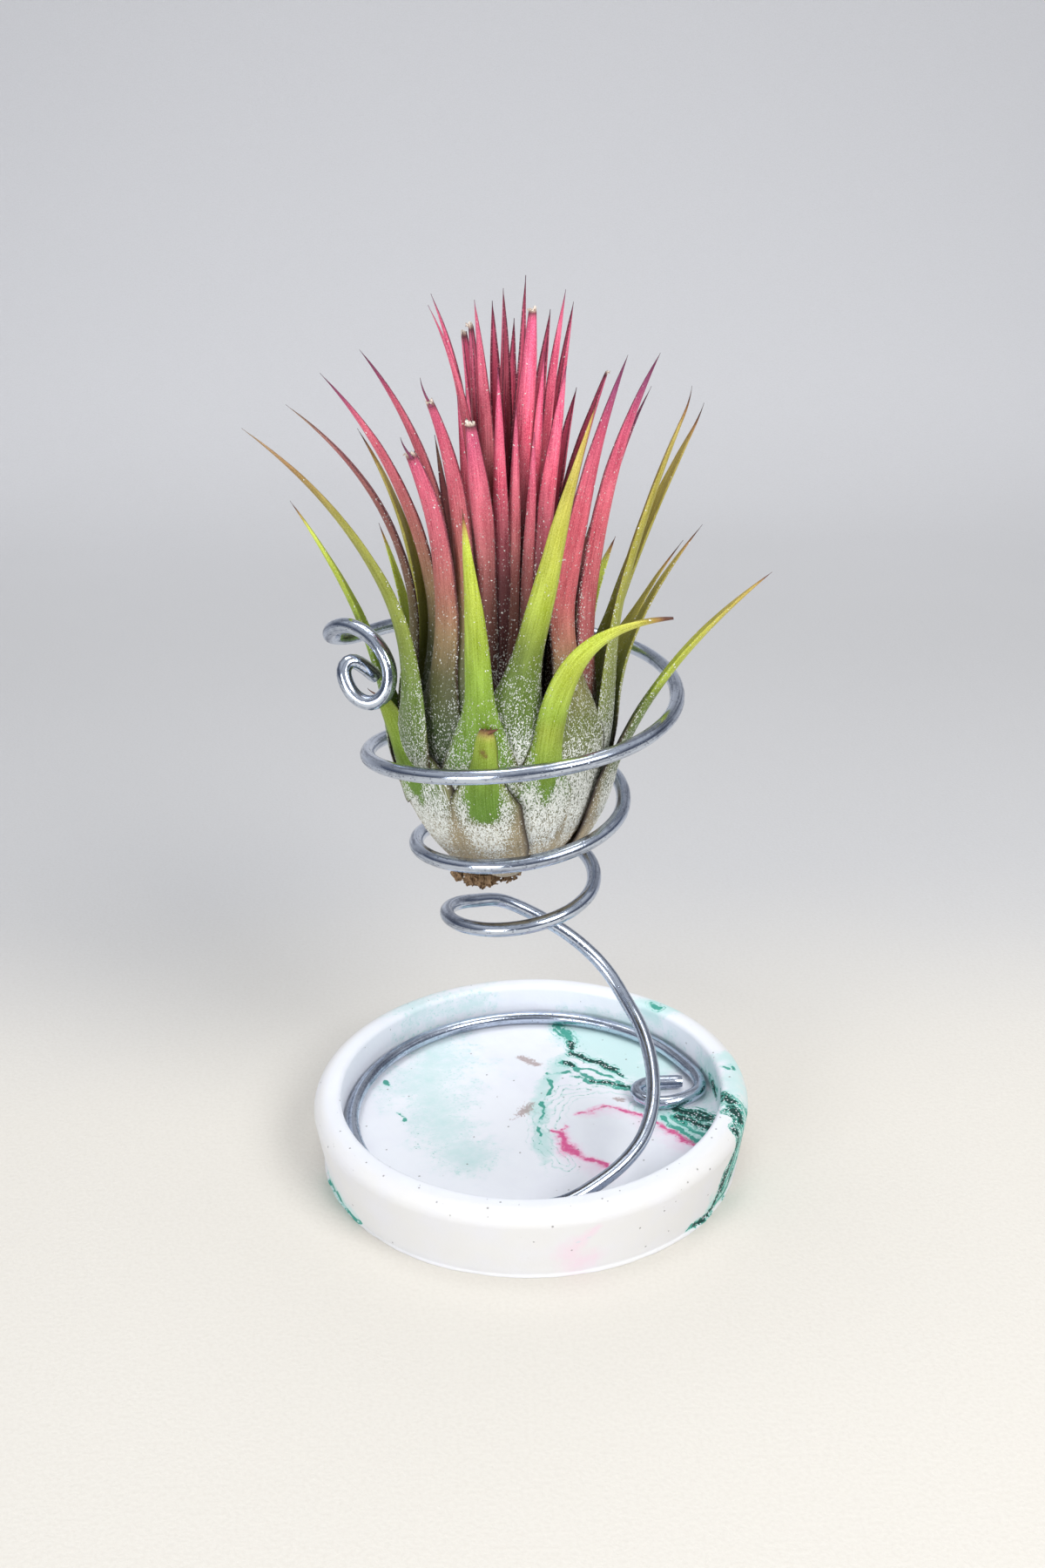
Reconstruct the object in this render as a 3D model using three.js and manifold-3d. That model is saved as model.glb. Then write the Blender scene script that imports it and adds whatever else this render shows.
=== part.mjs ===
// Sky plant (a small rosette with a blushing heart) held by a spiral wire stand in a cast dish.
// Millimetres, +Z up. The origin is the centre of the dish's underside; -Y is the front.
import * as THREE from 'three';
import Module from 'manifold-3d';

const wasm = await Module();
wasm.setup();

// Dish
const DISH_RADIUS = 40;
const DISH_FOOT_RADIUS = 38.4;
const DISH_HEIGHT = 14;
const DISH_WALL = 5;
const DISH_FLOOR = 6.3;
const DISH_RIM_ROUND = 2.8;
const DISH_INNER_RIM_ROUND = 1;
const DISH_FOOT_ROUND = 1.2;
const DISH_INNER_FILLET = 0.8;
const DISH_SIDES = 56;
const DISH_RIM_STEPS = 3;
const DISH_FOOT_STEPS = 2;
const DISH_FILLET_STEPS = 1;

// Wire stand
const WIRE_DIAMETER = 2.5;
const WIRE_SIDES = 8;
const WIRE_STEPS = 240;
const WIRE_LENGTH_SAMPLES = 8;
const CLEARANCE = 0.3;
const SPIRAL_CENTRE_X = -2.4;
const DISH_LOOP_RADIUS = 33.2;
const DISH_LOOP_CENTRE_X = 0.1;
const DISH_LOOP_HEIGHT = DISH_FLOOR + WIRE_DIAMETER / 2 + CLEARANCE;

// Plant: its foot, its lean to the right and the outline of its bulb
const PLANT_X = -4.4;
const PLANT_Z = 57.3;
const PLANT_LEAN_DEG = 3.3;
const BULB_RADIUS = 20;
const BULB_BELLY_HEIGHT = 28;
const BULB_FULLNESS = 0.42;
const BULB_BOTTOM = 0.6;
const BULB_SHIFT = 1.6;
const BULB_SHIFT_END = 25;
const FLARE_HEIGHT = 20;
const LAYER_PITCH = 1.15;
const WAIST_HEIGHT = 52;
const WAIST_OUTSIDE = 19.3;
const WAIST_PITCH = 2;
const STEM_RADIUS = 4.2;
const LAYER_START_RISE = 0.5;
const LAYER_START_STEP = 0.1;
const SLOPE_STEP = 0.05;

// Leaves
const SHEATH_WIDTH = 14.4;
const SHEATH_TOP = 27;
const SHEATH_END = 46;
const SHEATH_MAX_ANGLE = 24;
const CHANNEL_ANGLE = 66;
const LEAF_THICKNESS = 0.75;
const LEAST_HALF_WIDTH = 0.3;
const THICKNESS_SHARE = 0.7;
const LEAST_INNER_RADIUS = 0.05;
const LEAF_GAP = 0.35;
const MERGE_TOLERANCE = 0.02;
const LEAF_COLUMNS = 4;
const SHEATH_STEPS = 3;
const BLADE_STEPS = 8;
const USUAL_TAPER = 5;
const HEART_CHANNEL_ANGLE = 100;
const HEART_LEAF_COLUMNS = 4;
const HEART_LEAF_STEPS = 7;
const HEART_ROOT_HEIGHT = 26;
const HEART_RADIUS = 8.5;
const HEART_TOP = 50;
const HEART_SIDES = 18;
const HEART_RINGS = 9;
const HEART_BOTTOM = 3;
const HEART_INSET = 2;

// Outer leaves, the outermost layer first. tip is [right, back, up] in mm from the plant's foot, along its
// lean; root is the azimuth of the sheath in degrees (0 right, 90 back); layer counts inwards; waist is the
// blade's distance from the axis where it leaves the bulb; bow is how late it bends out, and droop how far
// it bends over at its end; width is the blade's; taper is low on a blade that narrows all the way; cut
// leaves have lost their tip.
const OUTER_LEAVES = [
  {
    name: 'leaf_front_stub', tip: [-3.5, -20, 34], root: -101, layer: 0,
    bow: 2, width: 5, taper: 6, cut: 0.92,
  },
  {
    name: 'leaf_left_stub', tip: [-22, 0.5, 33], root: -137, layer: 0,
    bow: 1.2, width: 4.5, taper: 5, cut: 0.93,
  },
  {
    name: 'leaf_right_far', tip: [42.5, 0, 53], root: -8, layer: 0, waist: 19,
    bow: 1.6, width: 3.4, taper: 2.5,
  },
  {
    name: 'leaf_left_back', tip: [-37, 8, 64.5], root: 168, layer: 0, waist: 19,
    bow: 1.6, width: 3.2, taper: 2.5,
  },
  { name: 'leaf_right_olive_back', tip: [29.5, 17, 54], root: 36, layer: 0, bow: 1.8, width: 3, taper: 2.5 },
  {
    name: 'leaf_front_arching', tip: [25, -18, 51], root: -69, layer: 1, waist: 18, bow: 2.35, droop: 0.8,
    width: 5.2, taper: 2,
  },
  { name: 'leaf_left_far', tip: [-41.5, -14, 81], root: -150, layer: 1, bow: 2.6, width: 3.8, taper: 3 },
  {
    name: 'leaf_front_lime', tip: [-8, -22, 70], root: -103, layer: 1, waist: 18.5,
    bow: 1.5, width: 5, taper: 1.8,
  },
  {
    name: 'leaf_right_olive', tip: [32, 12, 58], root: 16, layer: 1, waist: 18,
    bow: 2.1, width: 3.4, taper: 3,
  },
  {
    name: 'leaf_front_long', tip: [11.5, -16, 84.5], root: -94, layer: 2, waist: 16,
    bow: 1.15, width: 6.5, taper: 1.6,
  },
  {
    name: 'leaf_left_mauve', tip: [-37, 4, 81], root: -172, layer: 2, waist: 15.5,
    bow: 3.8, width: 3.6, taper: 4,
  },
  {
    name: 'leaf_right_tall', tip: [28.5, 6, 82], root: 2, layer: 2, waist: 15.5,
    bow: 1.8, width: 3.8, taper: 3,
  },
  {
    name: 'leaf_right_slope', tip: [16.5, -4, 89], root: -48, layer: 3, waist: 11.7,
    bow: 2.2, width: 3.8, taper: 4,
  },
  {
    name: 'leaf_left_broken', tip: [-17, -9, 75.5], root: -138, layer: 3, waist: 14.8,
    bow: 4, width: 4.2, taper: 6, cut: 0.9,
  },
  {
    name: 'leaf_right_twin', tip: [31, 12, 78], root: 26, layer: 3, waist: 16,
    bow: 1.6, width: 3.6, taper: 3,
  },
  {
    name: 'leaf_left_green', tip: [-26, 9, 76], root: 160, layer: 3, waist: 15,
    bow: 2.8, width: 3.4, taper: 3,
  },
  { name: 'leaf_right_dark', tip: [14, 14, 61], root: 48, layer: 3, bow: 1.8, width: 2.8, taper: 3 },
  {
    name: 'leaf_left_pink', tip: [-30.5, -6, 87.5], root: -160, layer: 4, waist: 12.8,
    bow: 3.1, width: 3.8, taper: 3,
  },
  {
    name: 'leaf_right_pink', tip: [21.5, -3, 89], root: -20, layer: 4, waist: 13.8,
    bow: 3.3, width: 3.6, taper: 4,
  },
  {
    name: 'leaf_front_broken', tip: [-13, -11, 83.5], root: -130, layer: 4, waist: 12.5,
    bow: 4.4, width: 3.8, taper: 8, cut: 0.9,
  },
  {
    name: 'leaf_left_tall', tip: [-25, 0, 90], root: -178, layer: 5, waist: 10,
    bow: 3.4, width: 3.6, taper: 4,
  },
  {
    name: 'leaf_right_tall_back', tip: [21.5, 8, 82], root: 12, layer: 5, waist: 12,
    bow: 2.8, width: 3, taper: 3,
  },
];

// Back leaves, which carry the rosette round behind. Azimuths step evenly; inner layers reach less far out
// and higher up; bow, width and taper are drawn between two values.
const BACK_LEAVES = {
  count: 12,
  seed: 11,
  layers: 5,
  layerStep: 2,
  azimuth: [56, 150],
  reach: 33,
  reachPerLayer: -4,
  up: 54,
  upPerLayer: 7,
  uneven: 3,
  turn: 6,
  bow: [1.8, 2.6],
  width: [3.2, 4.2],
  taper: [2, 3.5],
};

// Heart leaves, from the middle of the rosette: tip as above, root [azimuth, distance from the axis]
const HEART_LEAVES = [
  { tip: [0.5, 1, 100.5], root: [60, 1.5], bow: 1.5, width: 2.7 },
  { tip: [-3, 2, 98.5], root: [150, 2.5], bow: 1.5, width: 2.7 },
  { tip: [1.7, -6, 96.5], root: [-75, 4.5], bow: 1.5, width: 2.8, taper: 8, cut: 0.93 },
  { tip: [6.6, -1, 98.5], root: [-12, 4], bow: 1.8, width: 2.8 },
  { tip: [-7.3, -3, 97.5], root: [-155, 4.5], bow: 2, width: 2.8 },
  { tip: [4.6, 7, 94.5], root: [55, 5], bow: 1.6, width: 2.6 },
  { tip: [-4.6, 7, 96], root: [122, 5], bow: 1.6, width: 2.6 },
  { tip: [-8.2, 5, 95.5], root: [150, 6], bow: 2, width: 2.5, taper: 8, cut: 0.93 },
  { tip: [8.1, 4, 96], root: [24, 6], bow: 2, width: 2.8 },
  { tip: [-3.4, -10, 88.5], root: [-106, 7], bow: 1.6, width: 3, taper: 3 },
  { tip: [-14.3, -4, 97], root: [-152, 8], bow: 5, width: 3 },
  { tip: [-14.1, 1, 98], root: [178, 7], bow: 4, width: 2.6 },
  { tip: [-9.3, 9, 91], root: [135, 7], bow: 2, width: 2.6, taper: 8, cut: 0.93 },
  { tip: [-7, -14, 81], root: [-118, 8.5], bow: 2, width: 3.2, taper: 8, cut: 0.9 },
  { tip: [-1, 9, 93], root: [98, 7], bow: 1.6, width: 2.4 },
  { tip: [9.6, 11, 81.5], root: [48, 7.5], bow: 1.8, width: 2.5 },
  { tip: [14.3, 8, 84.5], root: [28, 8], bow: 2.5, width: 2.8, taper: 5, cut: 0.95 },
  { tip: [7, -7, 88], root: [-50, 7.5], bow: 1.5, width: 2.8 },
];

// The dried foot under the bulb
const FOOT_X = -7;
const FOOT_TOP = 0.4;
const FOOT_DEPTH = 2.6;
const FOOT_RADIUS = 4.6;
const FOOT_POINTS = 14;
const FOOT_HOLLOW = 0.6;
const FOOT_HANG = 0.35;
const FOOT_SEED = 5;

// Rings of the foot, downwards, as shares of its depth and radius, with how rough each one is
const FOOT_RINGS = [
  { depth: 0, radius: 0.8, rough: 0.04 },
  { depth: 0.35, radius: 1, rough: 0.12 },
  { depth: 0.75, radius: 0.72, rough: 0.2 },
];

const FINISHES = {
  dish: { colour: '#e6e7ee', roughness: 0.75, metalness: 0 },
  wire: { colour: '#9aa3b2', roughness: 0.35, metalness: 1 },
  leafGreen: { colour: '#8fae3c', roughness: 0.55, metalness: 0 },
  leafPink: { colour: '#b8476a', roughness: 0.55, metalness: 0 },
  leafOlive: { colour: '#8d8548', roughness: 0.6, metalness: 0 },
  foot: { colour: '#7d6247', roughness: 0.9, metalness: 0 },
};

// A leaf is pink where its tip is above the first height and within the reach, olive above the second
const PINK_HEIGHT = 82;
const PINK_REACH = 32;
const OLIVE_HEIGHT = 75;

const UP = new THREE.Vector3(0, 0, 1);
const PLANT_FOOT = new THREE.Vector3(PLANT_X, 0, PLANT_Z);
const LEAN = Math.tan(THREE.MathUtils.degToRad(PLANT_LEAN_DEG));

function named(geometry, name, { colour, roughness, metalness }) {
  const material = new THREE.MeshStandardMaterial({ color: colour, roughness, metalness });
  const mesh = new THREE.Mesh(geometry, material);
  mesh.name = name;
  return mesh;
}

// A small seeded random source, so every build gives the same plant
function randomSource(seed) {
  let state = seed;
  return () => {
    state = (state * 1664525 + 1013904223) % 4294967296;
    return state / 4294967296;
  };
}

function smoothFall(value, start, end) {
  return 1 - THREE.MathUtils.smoothstep(value, start, end);
}

// Dish

function arcPoints(centreX, centreY, radius, fromDeg, toDeg, steps) {
  const points = [];
  for (let i = 0; i <= steps; i += 1) {
    const angle = THREE.MathUtils.degToRad(fromDeg + ((toDeg - fromDeg) * i) / steps);
    points.push(new THREE.Vector2(centreX + radius * Math.cos(angle), centreY + radius * Math.sin(angle)));
  }
  return points;
}

function makeDish() {
  const inner = DISH_RADIUS - DISH_WALL;
  const rimCentre = DISH_RADIUS - DISH_RIM_ROUND;
  const innerRimCentre = inner + DISH_INNER_RIM_ROUND;
  const rimHeight = DISH_HEIGHT - DISH_RIM_ROUND;
  const innerRimHeight = DISH_HEIGHT - DISH_INNER_RIM_ROUND;
  const filletCentre = inner - DISH_INNER_FILLET;
  const footCentre = DISH_FOOT_RADIUS - DISH_FOOT_ROUND;
  const profile = [
    new THREE.Vector2(0, 0),
    ...arcPoints(footCentre, DISH_FOOT_ROUND, DISH_FOOT_ROUND, -90, 0, DISH_FOOT_STEPS),
    ...arcPoints(rimCentre, rimHeight, DISH_RIM_ROUND, 0, 90, DISH_RIM_STEPS),
    ...arcPoints(innerRimCentre, innerRimHeight, DISH_INNER_RIM_ROUND, 90, 180, DISH_RIM_STEPS),
    ...arcPoints(filletCentre, DISH_FLOOR + DISH_INNER_FILLET, DISH_INNER_FILLET, 0, -90, DISH_FILLET_STEPS),
    new THREE.Vector2(0, DISH_FLOOR),
  ];
  const geometry = new THREE.LatheGeometry(profile, DISH_SIDES);
  geometry.rotateX(Math.PI / 2);
  return named(geometry, 'dish', FINISHES.dish);
}

// Wire: curl at the upper left, four closing turns, a bowed leg, then a loop lying in the dish

const CURL = [
  [-24.1, -1.5, 94], [-26.1, -2.2, 96.3], [-28.2, -2.8, 97.7], [-29.4, -3.6, 96.5], [-28.9, -4.6, 94.2],
  [-27.4, -5.6, 92], [-24.7, -6.4, 91.2], [-22.3, -6.8, 93], [-21.5, -6.3, 96.6], [-22.8, -5, 100],
  [-25.3, -2.8, 102.1], [-28.7, 0.2, 102.7], [-31.5, 3.5, 101.1], [-32.3, 7.2, 98.5], [-29.6, 11.2, 97],
];

// Turns of the spiral: [azimuth, radius, height], going down
const TURNS = [
  [137, 28.6, 96.2], [90, 28.6, 93.6], [41, 29.8, 91.2], [0, 28.4, 89.4], [-45, 27.2, 87.8], [-90, 26, 86.2],
  [-135, 24.9, 83.7], [-180, 23.9, 80.6], [-270, 21.6, 75.4], [-360, 19.5, 70.5], [-450, 17.8, 66.8],
  [-540, 16.5, 63.7], [-630, 15.4, 60], [-720, 14.4, 55.6], [-810, 12.9, 52.5], [-900, 11.7, 49.7],
  [-950, 11, 47.2],
];
const TURN_STEP_DEG = 15;

const LEG = [
  [-4.8, 12.4, 45.2], [1, 12.8, 42.2], [6.7, 11.5, 39], [10.7, 10.3, 36], [14.6, 8, 32.4], [17.8, 4, 28.4],
  [20.4, -1, 25.2], [21.6, -7.5, 22.7], [21.6, -14, 20.5], [20.7, -19, 18.3], [18.8, -23, 16.1],
  [15.8, -26.4, 14.4], [12.4, -29, 13],
];

const DISH_LOOP_START_DEG = -82;
const DISH_LOOP_SETTLE_DEG = -135;
const DISH_LOOP_END_DEG = -346;
const DISH_LOOP_START_HEIGHT = 10.8;

const HOOK = [
  [32.1, 9.2], [31.8, 5], [28.6, 2.4], [24.4, 1.1], [20.8, 2.8], [19.9, 5.9], [22.4, 8], [26, 8.2],
  [28.9, 8.3],
];

function spiralPoints() {
  const turns = TURNS.map((turn) => new THREE.Vector3(...turn));
  const curve = new THREE.CatmullRomCurve3(turns, false, 'centripetal');
  const sweep = TURNS[0][0] - TURNS[TURNS.length - 1][0];
  const steps = Math.round(sweep / TURN_STEP_DEG);
  return curve.getPoints(steps).map(({ x, y, z }) => {
    const angle = THREE.MathUtils.degToRad(x);
    return new THREE.Vector3(SPIRAL_CENTRE_X + y * Math.cos(angle), y * Math.sin(angle), z);
  });
}

function dishLoopPoints() {
  const points = [];
  for (let degrees = DISH_LOOP_START_DEG; degrees >= DISH_LOOP_END_DEG; degrees -= TURN_STEP_DEG) {
    const angle = THREE.MathUtils.degToRad(degrees);
    const lift = THREE.MathUtils.smoothstep(degrees, DISH_LOOP_SETTLE_DEG, DISH_LOOP_START_DEG);
    const height = THREE.MathUtils.lerp(DISH_LOOP_HEIGHT, DISH_LOOP_START_HEIGHT, lift);
    points.push(new THREE.Vector3(
      DISH_LOOP_CENTRE_X + DISH_LOOP_RADIUS * Math.cos(angle),
      DISH_LOOP_RADIUS * Math.sin(angle),
      height,
    ));
  }
  return points;
}

function makeWire() {
  const route = [
    ...CURL.map((point) => new THREE.Vector3(...point)),
    ...spiralPoints(),
    ...LEG.map((point) => new THREE.Vector3(...point)),
    ...dishLoopPoints(),
    ...HOOK.map(([x, y]) => new THREE.Vector3(x, y, DISH_LOOP_HEIGHT)),
  ];
  const path = new THREE.CatmullRomCurve3(route, false, 'centripetal');
  path.arcLengthDivisions = WIRE_STEPS * WIRE_LENGTH_SAMPLES;
  const section = new THREE.Shape();
  section.absarc(0, 0, WIRE_DIAMETER / 2, 0, Math.PI * 2);
  const geometry = new THREE.ExtrudeGeometry(section, {
    steps: WIRE_STEPS,
    extrudePath: path,
    curveSegments: WIRE_SIDES / 2,
    bevelEnabled: false,
  });
  return named(geometry, 'wire_holder', FINISHES.wire);
}

// Plant

// Radius and slope of the bulb's outline at a height above the plant's foot
function bulbRadius(height) {
  const rise = Math.min(1, (height - BULB_BOTTOM) / (BULB_BELLY_HEIGHT - BULB_BOTTOM));
  return BULB_RADIUS * Math.max(0, Math.sin((rise * Math.PI) / 2)) ** BULB_FULLNESS;
}

// A point of a layer that lies a given depth inside the bulb's outline, as [radius, height]
function layerPoint(height, depth) {
  const slope = (bulbRadius(height + SLOPE_STEP) - bulbRadius(height)) / SLOPE_STEP;
  const length = Math.hypot(1, slope);
  return [bulbRadius(height) - depth / length, height + (depth * slope) / length];
}

// The height on the outline where a layer leaves the stem
function layerStart(depth) {
  let height = BULB_BOTTOM + LAYER_START_RISE;
  while (layerPoint(height, depth)[0] < STEM_RADIUS) {
    height += LAYER_START_STEP;
  }
  return height;
}

function radial(degrees) {
  const angle = THREE.MathUtils.degToRad(degrees);
  return new THREE.Vector3(Math.cos(angle), Math.sin(angle), 0);
}

// From the plant's own frame, whose axis leans and is bent to the right at the foot of the bulb
function inPlant(flat, height) {
  const shift = BULB_SHIFT * smoothFall(height, 0, BULB_SHIFT_END);
  return new THREE.Vector3(flat.x + LEAN * height + shift, flat.y, height).add(PLANT_FOOT);
}

// Turn from one azimuth to another the short way round
function mixAzimuth(from, to, amount) {
  const turn = ((((to - from) % 360) + 540) % 360) - 180;
  return from + turn * amount;
}

function bladeWidth(leaf, along) {
  const reached = along * (leaf.cut ?? 1);
  return leaf.width * (1 - reached ** (leaf.taper ?? USUAL_TAPER));
}

// Stations of a leaf from its root to its tip: place, azimuth it faces, width and half angle of its section
function outerStations(leaf) {
  const depth = leaf.layer * LAYER_PITCH;
  const [right, back, up] = leaf.tip;
  const tipAzimuth = THREE.MathUtils.radToDeg(Math.atan2(back, right));
  const stations = [];
  const add = (radius, height, along) => {
    const flare = along ** leaf.bow;
    const flat = radial(leaf.root).multiplyScalar(radius * (1 - flare));
    flat.add(new THREE.Vector3(right, back, 0).multiplyScalar(flare));
    const sheath = smoothFall(height, SHEATH_TOP, SHEATH_END);
    const sheathHalf = Math.min(
      SHEATH_WIDTH / 2,
      radius * Math.sin(THREE.MathUtils.degToRad(SHEATH_MAX_ANGLE)),
    );
    const half = THREE.MathUtils.lerp(bladeWidth(leaf, along) / 2, sheathHalf, sheath * (1 - along));
    const sheathAngle = THREE.MathUtils.radToDeg(Math.asin(Math.min(1, half / Math.max(radius, half))));
    stations.push({
      point: inPlant(flat, height),
      azimuth: mixAzimuth(leaf.root, tipAzimuth, flare),
      half,
      angle: THREE.MathUtils.lerp(CHANNEL_ANGLE, Math.min(sheathAngle, CHANNEL_ANGLE), sheath),
    });
  };
  const start = layerStart(depth);
  for (let i = 0; i < SHEATH_STEPS; i += 1) {
    const outline = THREE.MathUtils.lerp(start, FLARE_HEIGHT, i / SHEATH_STEPS);
    add(...layerPoint(outline, depth), 0);
  }
  const [, flareStart] = layerPoint(FLARE_HEIGHT, depth);
  const droop = leaf.droop ?? 0;
  const waist = leaf.waist ?? WAIST_OUTSIDE - WAIST_PITCH * leaf.layer;
  for (let i = 0; i <= BLADE_STEPS; i += 1) {
    const along = i / BLADE_STEPS;
    const height = flareStart + (up - flareStart) * ((1 + droop) * along - droop * along * along);
    const outline = THREE.MathUtils.clamp(height, FLARE_HEIGHT, BULB_BELLY_HEIGHT);
    const narrowing = THREE.MathUtils.smoothstep(height, BULB_BELLY_HEIGHT, WAIST_HEIGHT);
    const belly = layerPoint(outline, depth)[0];
    add(THREE.MathUtils.lerp(belly, waist, narrowing), height, along);
  }
  return stations;
}

function heartStations(leaf) {
  const [azimuth, distance] = leaf.root;
  const [right, back, up] = leaf.tip;
  const tipAzimuth = THREE.MathUtils.radToDeg(Math.atan2(back, right));
  const stations = [];
  for (let i = 0; i <= HEART_LEAF_STEPS; i += 1) {
    const along = i / HEART_LEAF_STEPS;
    const flare = along ** leaf.bow;
    const flat = radial(azimuth).multiplyScalar(distance * (1 - flare));
    flat.add(new THREE.Vector3(right, back, 0).multiplyScalar(flare));
    stations.push({
      point: inPlant(flat, THREE.MathUtils.lerp(HEART_ROOT_HEIGHT, up, along)),
      azimuth: mixAzimuth(azimuth, tipAzimuth, flare),
      half: bladeWidth(leaf, along) / 2,
      angle: HEART_CHANNEL_ANGLE,
    });
  }
  return stations;
}

// One closed blade through its stations: a curved section with an outer and an inner face, both split alike.
// grow makes it that much larger on every side, as the space it needs round itself.
function bladeMesh(stations, columns, whole, grow = 0) {
  const positions = [];
  const triangles = [];
  const last = stations.length - 1;
  const ringCount = whole ? last : last + 1;
  const index = (ring, side, column) => (ring * 2 + side) * columns + column;
  const tangentAt = (i) => {
    const before = stations[Math.max(0, i - 1)].point;
    const after = stations[Math.min(last, i + 1)].point;
    return after.clone().sub(before).normalize();
  };
  for (let i = 0; i < ringCount; i += 1) {
    const { point, azimuth, half, angle } = stations[i];
    const tangent = tangentAt(i);
    const side = UP.clone().cross(radial(azimuth));
    const out = side.clone().cross(tangent).normalize();
    side.crossVectors(tangent, out);
    const limit = THREE.MathUtils.degToRad(angle);
    const radius = Math.max(half, LEAST_HALF_WIDTH) / Math.sin(Math.min(limit, Math.PI / 2));
    const thickness = Math.min(LEAF_THICKNESS, radius * THICKNESS_SHARE);
    const reach = limit + grow / radius;
    const shift = (i === 0 ? -grow : 0) + (i === last ? grow : 0);
    const centre = point.clone().addScaledVector(out, -radius).addScaledVector(tangent, shift);
    for (const arcRadius of [radius + grow, Math.max(radius - thickness - grow, LEAST_INNER_RADIUS)]) {
      for (let column = 0; column < columns; column += 1) {
        const turn = reach * ((2 * column) / (columns - 1) - 1);
        const corner = centre.clone();
        corner.addScaledVector(side, arcRadius * Math.sin(turn));
        corner.addScaledVector(out, arcRadius * Math.cos(turn));
        positions.push(...corner.toArray());
      }
    }
  }
  const quad = (a, b, c, d) => triangles.push(a, b, c, a, c, d);
  for (let ring = 0; ring < ringCount - 1; ring += 1) {
    const next = ring + 1;
    for (let column = 0; column < columns - 1; column += 1) {
      const beside = column + 1;
      quad(index(ring, 0, column), index(ring, 0, beside), index(next, 0, beside), index(next, 0, column));
      const inner = [index(ring, 1, column), index(next, 1, beside)];
      triangles.push(inner[0], inner[1], index(ring, 1, beside));
      triangles.push(inner[0], index(next, 1, column), inner[1]);
    }
    const edge = columns - 1;
    quad(index(ring, 0, edge), index(ring, 1, edge), index(next, 1, edge), index(next, 0, edge));
    quad(index(ring, 1, 0), index(ring, 0, 0), index(next, 0, 0), index(next, 1, 0));
  }
  const top = ringCount - 1;
  for (let column = 0; column < columns - 1; column += 1) {
    const beside = column + 1;
    quad(index(0, 0, column), index(0, 1, column), index(0, 1, beside), index(0, 0, beside));
    if (!whole) {
      quad(index(top, 0, column), index(top, 0, beside), index(top, 1, beside), index(top, 1, column));
    }
  }
  if (whole) {
    const apex = positions.length / 3;
    positions.push(...stations[last].point.clone().addScaledVector(tangentAt(last), grow).toArray());
    for (let column = 0; column < columns - 1; column += 1) {
      triangles.push(index(top, 0, column), index(top, 0, column + 1), apex);
      triangles.push(index(top, 1, column + 1), index(top, 1, column), apex);
    }
    triangles.push(index(top, 0, columns - 1), index(top, 1, columns - 1), apex);
    triangles.push(index(top, 1, 0), index(top, 0, 0), apex);
  }
  return { positions, triangles };
}

function solid({ positions, triangles }) {
  return new wasm.Manifold(new wasm.Mesh({
    numProp: 3,
    vertProperties: new Float32Array(positions),
    triVerts: new Uint32Array(triangles),
  }));
}

function geometryOf(body) {
  const mesh = body.getMesh();
  const geometry = new THREE.BufferGeometry();
  geometry.setAttribute('position', new THREE.Float32BufferAttribute(mesh.vertProperties, 3));
  geometry.setIndex(Array.from(mesh.triVerts));
  geometry.computeVertexNormals();
  return geometry;
}

function largestPiece(body) {
  const tidy = body.asOriginal().simplify(MERGE_TOLERANCE);
  return tidy.decompose().reduce((best, piece) => (piece.volume() > best.volume() ? piece : best));
}

function overlapsBox(a, b) {
  const first = a.boundingBox();
  const second = b.boundingBox();
  return [0, 1, 2].every((axis) => first.min[axis] < second.max[axis] && second.min[axis] < first.max[axis]);
}

// The back of the rosette: azimuths step by a rule, with seeded unevenness
function backLeaves() {
  const { count, layers, layerStep, azimuth, uneven, turn } = BACK_LEAVES;
  const { reach, reachPerLayer, up, upPerLayer } = BACK_LEAVES;
  const random = randomSource(BACK_LEAVES.seed);
  const between = ([low, high]) => low + (high - low) * random();
  const spread = (size) => between([-size, size]);
  const leaves = [];
  for (let i = 0; i < count; i += 1) {
    const layer = (i * layerStep) % layers;
    const root = THREE.MathUtils.lerp(...azimuth, i / (count - 1));
    const distance = reach + reachPerLayer * layer + spread(uneven);
    const height = up + upPerLayer * layer + spread(uneven);
    const flat = radial(root + spread(turn)).multiplyScalar(distance);
    leaves.push({
      name: `leaf_back_${String(i + 1).padStart(2, '0')}`,
      tip: [flat.x, flat.y, height],
      root,
      layer,
      bow: between(BACK_LEAVES.bow),
      width: between(BACK_LEAVES.width),
      taper: between(BACK_LEAVES.taper),
    });
  }
  return leaves;
}

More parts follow.
